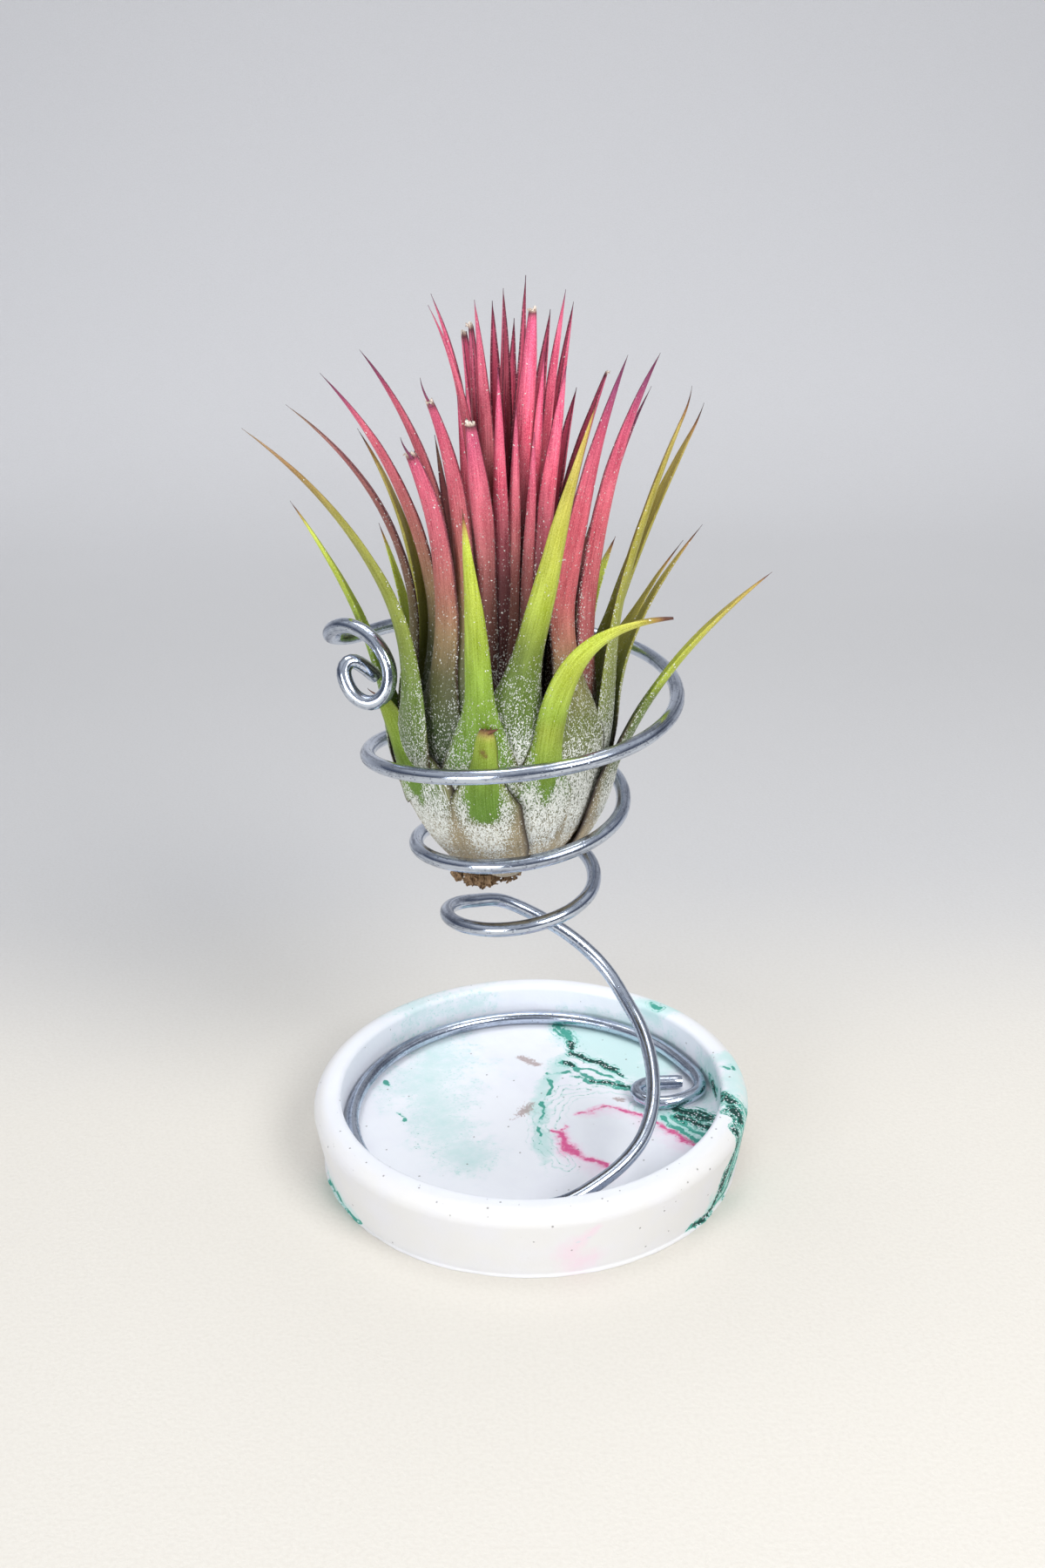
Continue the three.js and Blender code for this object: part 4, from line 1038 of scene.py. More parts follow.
def layer_start(depth):
    height = BULB_BOTTOM + 0.5
    while layer_point(height, depth)[0] < STEM_RADIUS:
        height += 0.1
    return height


def in_plant(flat, height):
    """From the plant's own frame, whose axis leans and is bent at the foot of the bulb."""
    place = np.array(flat, float)
    shift = BULB_SHIFT * (1 - smoothstep(height, 0, BULB_SHIFT_END))
    place[:, 0] += PLANT_X + LEAN * height + shift
    place[:, 2] = PLANT_Z + height
    return place


def turned(root, tip, share):
    """Azimuth on the short way round from the root's to the tip's."""
    goal = math.degrees(math.atan2(tip[1], tip[0]))
    return root + (((goal - root) % 360 + 540) % 360 - 180) * share


def blade_half(along, width, taper, cut):
    return width * (1 - (along * cut) ** taper) / 2


def stations(count):
    """Shares along a blade, closer together towards its tip."""
    return 1 - (1 - np.linspace(0, 1, count)) ** 1.4


def outer_course(leaf):
    """Place, azimuth, half width, section angle and height of each station of an outer leaf."""
    depth = leaf.get("shown", leaf["layer"]) * LAYER_PITCH
    right, back, up = leaf["tip"]
    low = np.linspace(layer_start(depth), FLARE_HEIGHT, SHEATH_STATIONS, endpoint=False)
    low_radius, low_height = layer_point(low, depth)
    along = stations(BLADE_STATIONS)
    flare_start = layer_point(FLARE_HEIGHT, depth)[1]
    droop = leaf.get("droop", 0)
    height = flare_start + (up - flare_start) * ((1 + droop) * along - droop * along**2)
    waist = leaf.get("waist", WAIST_OUTSIDE - WAIST_PITCH * leaf["layer"])
    belly = layer_point(np.clip(height, FLARE_HEIGHT, BULB_BELLY), depth)[0]
    radius = between(belly, waist, smoothstep(height, BULB_BELLY, WAIST_HEIGHT))
    radius = np.concatenate([low_radius, radius])
    height = np.concatenate([low_height, height])
    along = np.concatenate([np.zeros(len(low)), along])
    flare = along ** leaf["bow"]
    flat = radial(leaf["root"]) * (radius * (1 - flare))[:, None]
    flat = flat + np.array([right, back, 0]) * flare[:, None]
    hooked = (np.clip((along - HOOK_START) / (1 - HOOK_START), 0, 1) ** 2)[:, None]
    sheath = 1 - smoothstep(height, *leaf.get("narrow", (SHEATH_TOP, SHEATH_END)))
    widest = leaf.get("sheath", SHEATH_WIDTH / 2)
    sheath_half = np.minimum(widest, radius * math.sin(math.radians(SHEATH_MAX_ANGLE)))
    blade = blade_half(along, leaf["width"], leaf.get("taper", USUAL_TAPER), leaf.get("cut", 1))
    half = between(blade, sheath_half, sheath * (1 - along))
    crown = np.maximum(radius, half) * SHEATH_CROWN
    angle = np.degrees(np.arcsin(np.minimum(1, half / crown)))
    angle = between(CHANNEL_ANGLE, np.minimum(angle, CHANNEL_ANGLE), sheath)
    place = in_plant(flat, height) + hooked * np.array(leaf.get("curl", (0, 0, 0)), float)
    azimuth = turned(leaf["root"], leaf["tip"], flare * leaf.get("face", 1))
    return place, azimuth + leaf.get("twist", 0) * flare, half, angle, height


def heart_course(tip, root, bow, width, taper=USUAL_TAPER, cut=1.0, count=HEART_STATIONS):
    """Place, azimuth, half width, section angle and height of each station of a leaf of the heart."""
    azimuth, distance = root
    along = stations(count)
    flare = along**bow
    flat = radial(azimuth) * (distance * (1 - flare))[:, None]
    flat = flat + np.array([tip[0], tip[1], 0]) * flare[:, None]
    height = between(HEART_ROOT_HEIGHT, tip[2], along)
    half = blade_half(along, width, taper, cut)
    angle = np.full(count, float(HEART_CHANNEL_ANGLE))
    return in_plant(flat, height), turned(azimuth, tip, flare), half, angle, height


def there_and_back(values):
    """Values across the outer face, and the same in return across the inner one."""
    return np.concatenate([values, values[:, ::-1]], 1)


def blade_rings(place, azimuth, half, angle, thick, thin, columns):
    """Curved sections along a leaf, with each point's distance across and share of the half width."""
    tangent = unit(np.gradient(place, axis=0))
    side = np.cross(UP, radial(azimuth))
    out = unit(np.cross(side, tangent))
    side = np.cross(tangent, out)
    limit = np.radians(angle)
    radius = half / np.sin(np.minimum(limit, np.pi / 2))
    share = np.linspace(-1, 1, columns)[None]
    turn = limit[:, None] * share
    depth = np.minimum(between(thick, thin, share**2), radius[:, None] * 0.7)
    centre = place - out * radius[:, None]

    def arc(reach):
        across = side[:, None] * (reach * np.sin(turn))[..., None]
        return centre[:, None] + across + out[:, None] * (reach * np.cos(turn))[..., None]

    outer = arc(np.repeat(radius[:, None], columns, 1))
    inner = arc(radius[:, None] - depth)
    rings = np.concatenate([outer, inner[:, ::-1]], 1)
    width = radius[:, None] * turn
    across = there_and_back(width)
    inside = np.concatenate([np.zeros_like(width), np.ones_like(width)], 1)
    return rings, across, there_and_back(np.repeat(share, len(place), 0)), inside, tangent


def leaf_tint(leaf, height, to_tip, across, share, inside):
    """Colour of a leaf at each point, and how far the point is in a seam between sheaths."""
    kind = leaf["dress"]
    tint = tints(DRESSES[kind], np.clip((height - BLADE_START) / (leaf["tip"][2] - BLADE_START), 0, 1))
    tint = blend(tints(SHEATH_SKIN, height), tint, smoothstep(height, 15, 24))
    tint = blend(tint, tints(TONGUE, height), tongue_share(leaf, height, across))
    stops = {"dry": DRY_END, "torn": TORN_END}.get(leaf.get("end"), TIPS[kind])
    reach = stops[-1][0]
    tint = blend(tint, tints(stops, to_tip), 1 - smoothstep(to_tip, reach * 0.35, reach))
    edge = np.abs(share)
    # Painted sheen: pink blades are made lighter along their middle, high up, where light shines off them
    if kind in PINKS:
        tint = tint * (1 + 0.22 * (1 - smoothstep(edge, 0.1, 0.5)) * smoothstep(height, 40, 70))[..., None]
    for middle, level, size in leaf.get("spots", ()):
        gap = np.hypot(across - middle, height - level)
        tint = blend(tint, linear(SPOT_COLOUR), 1 - smoothstep(gap, 0, size))
    tint = blend(tint, linear(BARE_COLOUR), bare_share(height, edge) * 0.65)
    seam = smoothstep(edge, 0.8, 0.93) * (1 - smoothstep(height, 24, 34)) * smoothstep(height, 1, 6)
    tint = blend(tint, linear(SEAM_COLOUR), seam * 0.9)
    # Painted shadow: a dark line at the sheath's very edge, in the gap between sheaths; the brown band
    # inside it is the papery margin
    tint = blend(tint, linear(SEAM_SHADOW_COLOUR), smoothstep(edge, 0.93, 0.99) * seam)
    return tint * (1 - 0.25 * inside)[..., None], seam


def bare_share(height, edge):
    """1 where the sheath's papery margin shows between the scurf, wider towards the foot."""
    start = 0.74 - 0.36 * (1 - smoothstep(height, 9, 19))
    return smoothstep(edge, start - 0.16, start + 0.16) * (1 - smoothstep(height, 17, 27))


def tongue_share(leaf, height, across):
    """1 on the bare strip that runs down into the scurf."""
    if "tongue" not in leaf:
        return np.zeros_like(height)
    start, half, point = leaf["tongue"]
    bottom = start + np.abs(across / half) ** point * (2.2 if point > 2 else 8)
    share = smoothstep(height, bottom - 0.3, bottom + 0.5)
    share = share * (1 - smoothstep(np.abs(across), half, half + 0.5))
    return share * (1 - smoothstep(height, 32, 36))


def leaf_scurf(leaf, height, to_tip, across, share, inside, seam):
    """How much of the skin is covered with silvery scurf at each point."""
    low, high = leaf["frost"]
    edge = np.abs(share)
    dense = 1 - smoothstep(height, low - 6, low + 4)
    sparse = 1 - smoothstep(height, low, high)
    scurf = 0.65 * dense + 0.38 * sparse
    rest = 0.09 if leaf["dress"] in (*PINKS, "dusk") else 0.04
    scurf = np.maximum(scurf, rest * (1 - 0.5 * smoothstep(height, 50, 90)))
    margin = smoothstep(edge, 0.6, 0.94) * (1 - smoothstep(height, high - 8, high + 16))
    scurf = scurf + 0.24 * margin * (1 - dense)
    scurf = scurf * (1 - 0.72 * bare_share(height, edge)) * (0.3 + 0.7 * smoothstep(height, 4, 14))
    scurf = scurf * (1 - 0.85 * seam) * (1 - 0.97 * tongue_share(leaf, height, across))
    scurf = scurf * (1 - 0.5 * inside) * smoothstep(to_tip, 0.5, 3)
    return np.clip(scurf, 0, 1.1)


def leaf_skin(leaf, course, number, settings, columns):
    """Points, faces, fields and skin map of one leaf."""
    place, azimuth, half, angle, height = course
    length = lengths(place)
    to_tip = length[-1] - length
    if leaf.get("end") == "torn":
        half = half * (1 - 0.22 * (1 - smoothstep(to_tip, 0, 16)))
    sway = smoothstep(height, 30, 60) * (1 - 0.6 * smoothstep(12 - to_tip, 0, 12))
    half = np.maximum(half * (1 + 0.06 * ripple(length, 40 + number, 34) * sway), 0.06)
    side = np.cross(UP, radial(azimuth))
    place = place + side * (0.25 * ripple(length, 90 + number, 60, 3) * sway)[:, None]
    azimuth = azimuth + 12 * ripple(length, 140 + number, 80, 2) * sway
    thick = settings.leaf_thickness / MM
    thin = settings.margin_thickness / MM
    rings, across, share, inside, tangent = blade_rings(place, azimuth, half, angle, thick, thin, columns)
    if leaf.get("end"):
        random = np.random.default_rng(300 + number)
        ragged = random.uniform(-0.7, 0.45, columns)
        ragged = np.concatenate([ragged, ragged[::-1] + random.uniform(-0.15, 0.15, columns)])
        rings[-1] += tangent[-1] * ragged[:, None]
    count, around = rings.shape[:2]
    tall, rest, along = (np.repeat(values[:, None], around, 1) for values in (height, to_tip, length))
    tint, seam = leaf_tint(leaf, tall, rest, across, share, inside)
    scurf = leaf_scurf(leaf, tall, rest, across, share, inside, seam)
    rim = smoothstep(np.abs(share), 0.72, 1) * RIMS[leaf["dress"]] * smoothstep(tall, 26, 42)
    uv = np.stack([across + number * 23.7, along + number * 7.3], -1)
    fields = {
        "tint": tint.reshape(-1, 3), "scurf": scurf.ravel(), "rim": rim.ravel(),
        "old": (1 - smoothstep(tall, 0, 12)).ravel(), "outside": (1 - inside).ravel(),
    }
    return rings.reshape(-1, 3), band_faces(count, around), fields, uv.reshape(-1, 2)


def straight_course(line, azimuth, thin, height):
    """A course for a narrow shred along a line."""
    count = len(line)
    return line, np.full(count, azimuth), thin, np.full(count, 80.0), np.broadcast_to(height, count)


def spike_skin(leaf, course, number, settings):
    """The dry sliver that is left standing on a torn tip."""
    lean, back, rise = leaf["spike"]
    place, azimuth, half, _, height = course
    start = place[-4] + np.cross(UP, radial(azimuth[-4])) * (half[-4] * 0.35)
    share = np.linspace(0, 1, 14)
    line = start + share[:, None] * np.array([lean, back, rise])
    line[:, 0] += 0.35 * np.sin(share * 2.6) * np.sign(lean)
    thin = np.maximum(0.4 * (1 - share) ** 0.8, 0.05)
    kind = dict(leaf, end=None, spots=(), tip=(0, 0, height[-1] + rise))
    sliver = straight_course(line, azimuth[-1], thin, height[-1] + share * rise)
    return leaf_skin(kind, sliver, number + 500, settings, SHRED_COLUMNS)


def crumb_skins(course, number, settings):
    """Small, pale, curled shreds on a torn tip."""
    place, azimuth, half, _, height = course
    random = np.random.default_rng(700 + number)
    out = radial(azimuth[-1])
    side = np.cross(UP, out)
    share = np.linspace(0, 1, 6)
    leaf = dict(dress="crumb", tip=(0, 0, height[-1] + 1), frost=(0, 1))
    skins = []
    for part in range(5):
        start = place[-2] + side * half[-2] * random.uniform(-0.95, 0.95)
        lean = side * random.uniform(-0.9, 0.9) + out * random.uniform(-0.3, 0.9)
        lean = lean + UP * random.uniform(0.1, 1)
        line = start + (share * random.uniform(0.3, 0.75))[:, None] * lean
        line = line - UP * (share**2 * random.uniform(0, 0.35))[:, None]
        thin = random.uniform(0.12, 0.22) * (1 - 0.75 * share**2)
        shred = straight_course(line, azimuth[-1] + random.uniform(-60, 60), thin, height[-1])
        skins.append(leaf_skin(leaf, shred, number + 520 + 9 * part, settings, SHRED_COLUMNS))
    return skins


def joined(skins):
    """Several skins as one."""
    points, faces, fields, uvs = zip(*skins)
    starts = np.cumsum([0, *map(len, points[:-1])])
    faces = [own + start for own, start in zip(faces, starts)]
    whole = {key: np.concatenate([own[key] for own in fields]) for key in fields[0]}
    return np.concatenate(points), np.concatenate(faces), whole, np.concatenate(uvs)


def back_leaves():
    """The leaves behind, set out by their rule."""
    rule = BACK_LEAVES
    random = random_source(rule["seed"])

    def draw(limits):
        return limits[0] + (limits[1] - limits[0]) * random()

    leaves = {}
    kinds = ("lime", "olive", "olive", "lime", "dusk")
    for number in range(rule["count"]):
        layer = (number * rule["layer_step"]) % rule["layers"]
        root = between(*rule["azimuth"], number / (rule["count"] - 1))
        uneven = rule["uneven"]
        distance = rule["reach"] + rule["reach_per_layer"] * layer + draw((-uneven, uneven))
        height = rule["up"] + rule["up_per_layer"] * layer + draw((-uneven, uneven))
        flat = radial(root + draw((-rule["turn"], rule["turn"]))) * distance
        dress = "rose" if layer == 4 else kinds[number % 5]
        leaves[f"leaf_back_{number + 1:02d}"] = dict(
            tip=(flat[0], flat[1], height), root=root, layer=layer, bow=draw(rule["bow"]),
            width=draw(rule["width"]), taper=draw(rule["taper"]), dress=dress, frost=(25, 46),
            slot="leaf_olive" if dress in ("rose", "dusk") else "leaf_green",
        )
    return leaves


def make_leaves(leaves, settings, first):
    for number, (name, leaf) in enumerate(leaves.items(), first):
        course = outer_course(leaf)
        skins = [leaf_skin(leaf, course, number, settings, OUTER_COLUMNS)]
        if "spike" in leaf:
            skins.append(spike_skin(leaf, course, number, settings))
        if leaf.get("end") == "torn":
            skins += crumb_skins(course, number, settings)
        points, faces, fields, uv = joined(skins)
        piece = add_piece(f"{name}_blade", points, faces, shared_leaf_material(settings), fields, uv)
        settle(piece, leaf.get("slot", SLOTS.get(leaf["dress"])), name)


def shared_leaf_material(settings):
    return bpy.data.materials.get("leaf_skin") or leaf_material(settings)


def make_heart(settings):
    """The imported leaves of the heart, with the thinner ones that fill it."""
    skins = []

    def add(number, dress, columns, tip, root, *shape, end=None, **more):
        course = heart_course(tip, root, *shape, **more)
        leaf = dict(tip=tip, dress=dress, frost=(28, 60), end=end)
        skins.append(leaf_skin(leaf, course, number, settings, columns))
        if end:
            skins.extend(crumb_skins(course, number, settings))

    for number, leaf in enumerate(HEART_LEAVES):
        end = "torn" if len(leaf) > 5 else None
        add(60 + number, ("heart", "mauve", "heart")[number % 3], HEART_COLUMNS, *leaf, end=end)
    for number, (tip, root) in enumerate(HEART_FILLERS):
        add(120 + number, ("mauve", "heart")[number % 2], FILLER_COLUMNS, tip, root, 1.6, 3.2, 3)
    random = np.random.default_rng(8)
    for number in range(12):
        azimuth = number * GOLDEN_ANGLE
        distance = 2.2 + 0.5 * number
        height = random.uniform(80, 90) - 0.8 * number
        flat = radial(azimuth + random.uniform(-10, 10)) * (distance * 1.05)
        place = (flat[0], flat[1], height), (azimuth, distance), 1.5, random.uniform(2.2, 2.8)
        dress = ("mauve", "heart")[number % 2]
        add(90 + number, dress, FILLER_COLUMNS, *place, count=FILLER_STATIONS)
    points, faces, fields, uv = joined(skins)
    piece = add_piece("heart_blades", points, faces, shared_leaf_material(settings), fields, uv)
    settle(piece, "leaf_pink", "heart_leaves")


def scale_plan():
    """Raised scales scattered over the outer faces of the leaves, dense where the scurf is."""
    plan = geometry_plan("scattered_scales")
    plan.input("Density", "NodeSocketFloat", 4.5)
    plan.input("Size", "NodeSocketFloat", 0.0003)
    plan.input("Seed", "NodeSocketInt", 3)
    plan.input("Material", "NodeSocketMaterial")
    group = plan.node("NodeGroupInput", None, "Geometry")
    scurf = plan.held("scurf")
    density = (scurf * scurf * 0.9 + scurf * 0.35) * group.out("Density") * PER_SQUARE_METRE
    values = {
        "Mesh": group, "Selection": plan.held("outside") > 0.99, "Density": density,
        "Seed": group.out("Seed"),
    }
    points = plan.node("GeometryNodeDistributePointsOnFaces", values, "Points", distribute_method="RANDOM")
    cone = {"Vertices": 5, "Side Segments": 1, "Radius Top": 0.0, "Radius Bottom": 0.5, "Depth": 0.22}
    scale = plan.node("GeometryNodeMeshCone", cone, "Mesh", fill_type="NGON")
    flat = {"Geometry": scale, "Scale": (0.62, 1.25, 1.0)}
    flat = plan.node("GeometryNodeTransform", flat, "Geometry")
    limits = {"Min": (-0.3, -0.3, -3.1416), "Max": (0.3, 0.3, 3.1416), "Seed": 5}
    tilt = plan.node("FunctionNodeRandomValue", limits, "Value", data_type="FLOAT_VECTOR")
    spin = plan.node("FunctionNodeEulerToRotation", {"Euler": tilt}, "Rotation")
    turns = {"Rotation": points.out("Rotation"), "Rotate By": spin}
    turn = plan.node("FunctionNodeRotateRotation", turns, "Rotation", rotation_space="LOCAL")
    limits = {"Min_001": 0.6, "Max_001": 1.35, "Seed": 9}
    size = plan.node("FunctionNodeRandomValue", limits, "Value_001", data_type="FLOAT")
    values = {"Points": points, "Instance": flat, "Rotation": turn, "Scale": size * group.out("Size")}
    placed = plan.node("GeometryNodeInstanceOnPoints", values, "Instances")
    plan.close(placed, group.out("Material"))
    return plan


def surface_of(names):
    """A temporary object that holds the faces, scurf and outside of several leaves."""
    skins = []
    for name in names:
        mesh = bpy.data.objects[name].data
        points = read(mesh.vertices, "co", 3) / MM
        fields = {key: read(mesh.attributes[key].data, "value") for key in ("scurf", "outside")}
        skins.append((points, read(mesh.loops, "vertex_index").reshape(-1, 4), fields, points))
    points, faces, fields, _ = joined(skins)
    return add_piece("scale_ground", points, faces, bpy.data.materials["leaf_skin"], fields)


def make_scales(settings):
    """Scales on the front and side leaves, on the back ones and on the heart."""
    material = scale_material()
    plan = scale_plan()
    groups = {
        "scales_front": [f"{name}_blade" for name in OUTER_LEAVES],
        "scales_back": [f"{name}_blade" for name in back_leaves()],
        "scales_heart": ["heart_blades"],
    }
    for seed, (name, pieces) in enumerate(groups.items(), 3):
        values = {
            "Density": settings.scale_density, "Size": settings.scale_size, "Seed": seed,
            "Material": material,
        }
        piece = grown(surface_of(pieces), plan, values, name)
        settle(piece, "leaf_pink" if name == "scales_heart" else "leaf_green")


def make_foot(settings):
    """Curled, papery flakes of old sheaths that hang under the bulb."""
    random = np.random.default_rng(21)
    low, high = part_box("dried_foot")
    middle = (np.array(low) + np.array(high)) / 2 / MM
    top = high[2] / MM
    skins = []
    for number in range(64):
        azimuth = number * GOLDEN_ANGLE + random.uniform(-12, 12)
        ring = 4.6 * math.sqrt((number + 0.5) / 64)
        rows, columns = 12, 6
        share = np.linspace(0, 1, rows)
        drop = random.uniform(0.9, 2.0) + 0.5 * (1 - ring / 4.6)
        width = random.uniform(1.2, 2.6)
        spread = random.uniform(0.2, 1.5)
        out = ring + spread * np.sin(share * random.uniform(1.2, 2.8))
        down = drop * np.sin(share * random.uniform(1.3, 2.2))
        place = radial(azimuth) * out[:, None]
        place[:, 0] = place[:, 0] * 1.05 + middle[0]
        place[:, 2] = top + 0.7 - down + 0.2 * ripple(share * 3, 400 + number, 3)
        face = azimuth + 70 * ripple(share * 2, 500 + number, 3, 3)
        narrow = width / 2 * (1 - 0.5 * share**2) * (1 + 0.25 * ripple(share * 4, 600 + number, 2.4))
        angle = 28 + 60 * share * random.uniform(0.3, 1)
        rings, across, _, _, tangent = blade_rings(place, face, narrow, angle, 0.16, 0.1, columns)
        rings[-1] += random.uniform(-0.35, 0.35) * tangent[-1]
        rings[1:] += random.uniform(-0.06, 0.06, (rows - 1, 1, 3))
        along = np.repeat((share * drop)[:, None], across.shape[1], 1)
        uv = np.stack([across + number * 3.1, along], -1).reshape(-1, 2)
        skins.append((rings.reshape(-1, 3), band_faces(rows, columns * 2), {}, uv))
    points, faces, fields, uv = joined(skins)
    piece = add_piece("dried_flakes", points, faces, foot_material(settings), fields, uv)
    settle(piece, "dried_sheath", "dried_foot")


# Wire

def smooth_course(points, samples):
    """A centripetal curve through points, with so many samples between each two."""
    points = np.asarray(points, float)
    ends = [2 * points[0] - points[1], *points, 2 * points[-1] - points[-2]]
    course = []
    for p0, p1, p2, p3 in zip(ends, ends[1:], ends[2:], ends[3:]):
        t1 = np.linalg.norm(p1 - p0) ** 0.5
        t2 = t1 + np.linalg.norm(p2 - p1) ** 0.5
        t3 = t2 + np.linalg.norm(p3 - p2) ** 0.5
        t = np.linspace(t1, t2, samples, endpoint=False)[:, None]
        a1 = (t1 - t) / t1 * p0 + t / t1 * p1
        a2 = (t2 - t) / (t2 - t1) * p1 + (t - t1) / (t2 - t1) * p2
        a3 = (t3 - t) / (t3 - t2) * p2 + (t - t2) / (t3 - t2) * p3
        b1 = (t2 - t) / t2 * a1 + t / t2 * a2
        b2 = (t3 - t) / (t3 - t1) * a2 + (t - t1) / (t3 - t1) * a3
        course.append((t2 - t) / (t2 - t1) * b1 + (t - t1) / (t2 - t1) * b2)
    return np.concatenate([*course, points[-1:]])


def wire_course(step):
    """The wire's centre line from the curl to the hook, in equal steps."""
    turns = smooth_course(TURNS, 24)
    sweep = round((TURNS[0][0] - TURNS[-1][0]) / TURN_STEP)
    turns = turns[np.round(np.linspace(0, len(turns) - 1, sweep + 1)).astype(int)]
    spiral = radial(turns[:, 0]) * turns[:, 1:2]
    spiral[:, 0] += SPIRAL_CENTRE_X
    spiral[:, 2] = turns[:, 2]
    start, settle_at, end = LOOP_AZIMUTHS
    azimuths = np.arange(start, end - 1, -TURN_STEP)
    loop = radial(azimuths) * LOOP_RADIUS
    loop[:, 0] += LOOP_CENTRE_X
    loop[:, 2] = between(LOOP_HEIGHT, LOOP_START_HEIGHT, smoothstep(azimuths, settle_at, start))
    hook = [(x, y, LOOP_HEIGHT) for x, y in HOOK]
    route = np.concatenate([CURL, spiral, LEG, loop, hook])
    fine = smooth_course(route, 12)
    length = lengths(fine)
    even = np.linspace(0, length[-1], round(length[-1] / step) + 1)
    course = np.stack([np.interp(even, length, fine[:, axis]) for axis in range(3)], -1)
    for _ in range(3):
        course[1:-1] = course[1:-1] * 0.5 + (course[:-2] + course[2:]) * 0.25
    return course, even


def wire_plan():
    """A round tube along a line, with its own coordinates for the drawn finish."""
    plan = geometry_plan("drawn_wire")
    plan.input("Radius", "NodeSocketFloat", 0.00125)
    plan.input("Sides", "NodeSocketInt", WIRE_SIDES)
    plan.input("Material", "NodeSocketMaterial")
    group = plan.node("NodeGroupInput", None, "Geometry")
    line = plan.node("GeometryNodeMeshToCurve", {"Mesh": group}, "Curve")
    size = {"Resolution": group.out("Sides"), "Radius": group.out("Radius")}
    circle = plan.node("GeometryNodeCurvePrimitiveCircle", size, "Curve")
    spot = plan.node("GeometryNodeInputPosition", None, "Position")
    profile = plan.stored(circle, "spot", spot, "FLOAT_VECTOR")
    length = plan.node("GeometryNodeSplineParameter", None, "Length")
    measured = plan.stored(line, "length", length, "FLOAT")
    values = {"Curve": measured, "Profile Curve": profile, "Scale": plan.held("girth"), "Fill Caps": True}
    tube = plan.node("GeometryNodeCurveToMesh", values, "Mesh")
    plan.close(tube, group.out("Material"))
    return plan


def make_wire(settings):
    """The stand, bent from one length of wire."""
    course, length = wire_course(settings.step / MM)
    left = np.minimum(length, length[-1] - length)
    girth = 1 - 0.16 * (1 - smoothstep(left, 0, 0.5))
    girth = girth * (1 + 0.006 * ripple(length, 77, 30))
    mesh = bpy.data.meshes.new("wire_line")
    mesh.from_pydata((course * MM).tolist(), [(k, k + 1) for k in range(len(course) - 1)], [])
    hold(mesh, "girth", girth)
    values = {"Radius": settings.diameter / 2, "Sides": WIRE_SIDES, "Material": wire_material(settings)}
    piece = grown(new_object("wire_line", mesh), wire_plan(), values, "wire_stand")
    made = piece.data
    around = read(made.attributes["spot"].data, "vector", 3) / MM
    around[:, 2] = read(made.attributes["length"].data, "value") / MM
    layer = made.attributes.new("around", "FLOAT_VECTOR", "POINT")
    layer.data.foreach_set("vector", around.ravel())
    made.shade_smooth()
    settle(piece, "galvanised_wire", "wire_holder")


# Dish

def dish_arc(radius, height, size, start, end, count):
    """Points of an arc in the dish's profile."""
    angles = np.radians(np.linspace(start, end, count))
    return [(radius + size * math.cos(angle), height + size * math.sin(angle), 0) for angle in angles]


def dish_profile(settings):
    """Radius, height and share of the casting lip, from the centre below to the centre above."""
    outer, foot, tall = (size / MM for size in (settings.radius, settings.foot_radius, settings.height))
    rounding, small = settings.rim_round / MM, settings.inner_round / MM
    inner = outer - settings.wall / MM
    fillet = 0.8
    points = [(radius, 0.0, 0.0) for radius in np.linspace(0.6, foot - 1.6, 14)]
    points += [(foot - 0.9, 0, 0.2), (foot - 0.35, 0, 0.8), (foot - 0.1, 0.02, 1), (foot - 0.08, 0.16, 1)]
    points += [(foot - 0.25, 0.3, 0.55), (foot - 0.22, 0.5, 0.15), (foot - 0.06, 0.8, 0)]
    for share in np.linspace(0, 1, 30)[1:]:
        points.append((between(foot, outer, share), between(1.1, tall - rounding, share), 0))
    points += dish_arc(outer - rounding, tall - rounding, rounding, 0, 90, 11)[1:]
    points.append((between(outer - rounding, inner + small, 0.5), tall, 0))
    points += dish_arc(inner + small, tall - small, small, 90, 180, 9)
    points += [(inner, height, 0) for height in np.linspace(tall - small, FLOOR + fillet, 16)[1:]]
    points += dish_arc(inner - fillet, FLOOR + fillet, fillet, 0, -90, 6)[1:]
    points += [(radius, FLOOR, 0) for radius in np.linspace(inner - fillet, 0.5, 78)[1:]]
    return np.array(points, float)


def stretches(points, line):
    """For each stretch of a line: its ends, and each point's share along it and distance from it."""
    knots = np.array([knot if len(knot) == 4 else (*knot[:2], FLOOR, knot[-1]) for knot in line], float)
    for start, end in zip(knots, knots[1:]):
        step = end[:3] - start[:3]
        share = np.clip((points - start[:3]) @ step / float(step @ step), 0, 1)
        gap = np.linalg.norm(points - start[:3] - share[:, None] * step, axis=1)
        yield start, end, share, gap


def nearness(points, lines, thinned=1.0):
    """1 on a line, 0.5 at its half width and 0 at twice that, for the nearest line of each point."""
    best = np.zeros(len(points))
    for line in lines:
        for start, end, share, gap in stretches(points, line):
            width = between(start[3], end[3], share) * thinned
            best = np.maximum(best, np.clip(1 - 0.5 * gap / width, 0, 1))
    return best


def flow(points, lines):
    """How far each point is along the nearest line and away from it, in millimetres."""
    best = np.full(len(points), np.inf)
    course = np.zeros((len(points), 3))
    run = 0
    for line in lines:
        for start, end, share, gap in stretches(points, line):
            length = float(np.linalg.norm(end[:3] - start[:3]))
            near = gap < best
            best[near] = gap[near]
            course[near, 0] = run + share[near] * length
            course[near, 1] = gap[near]
            run += length
        run += LINE_GAP
    return course


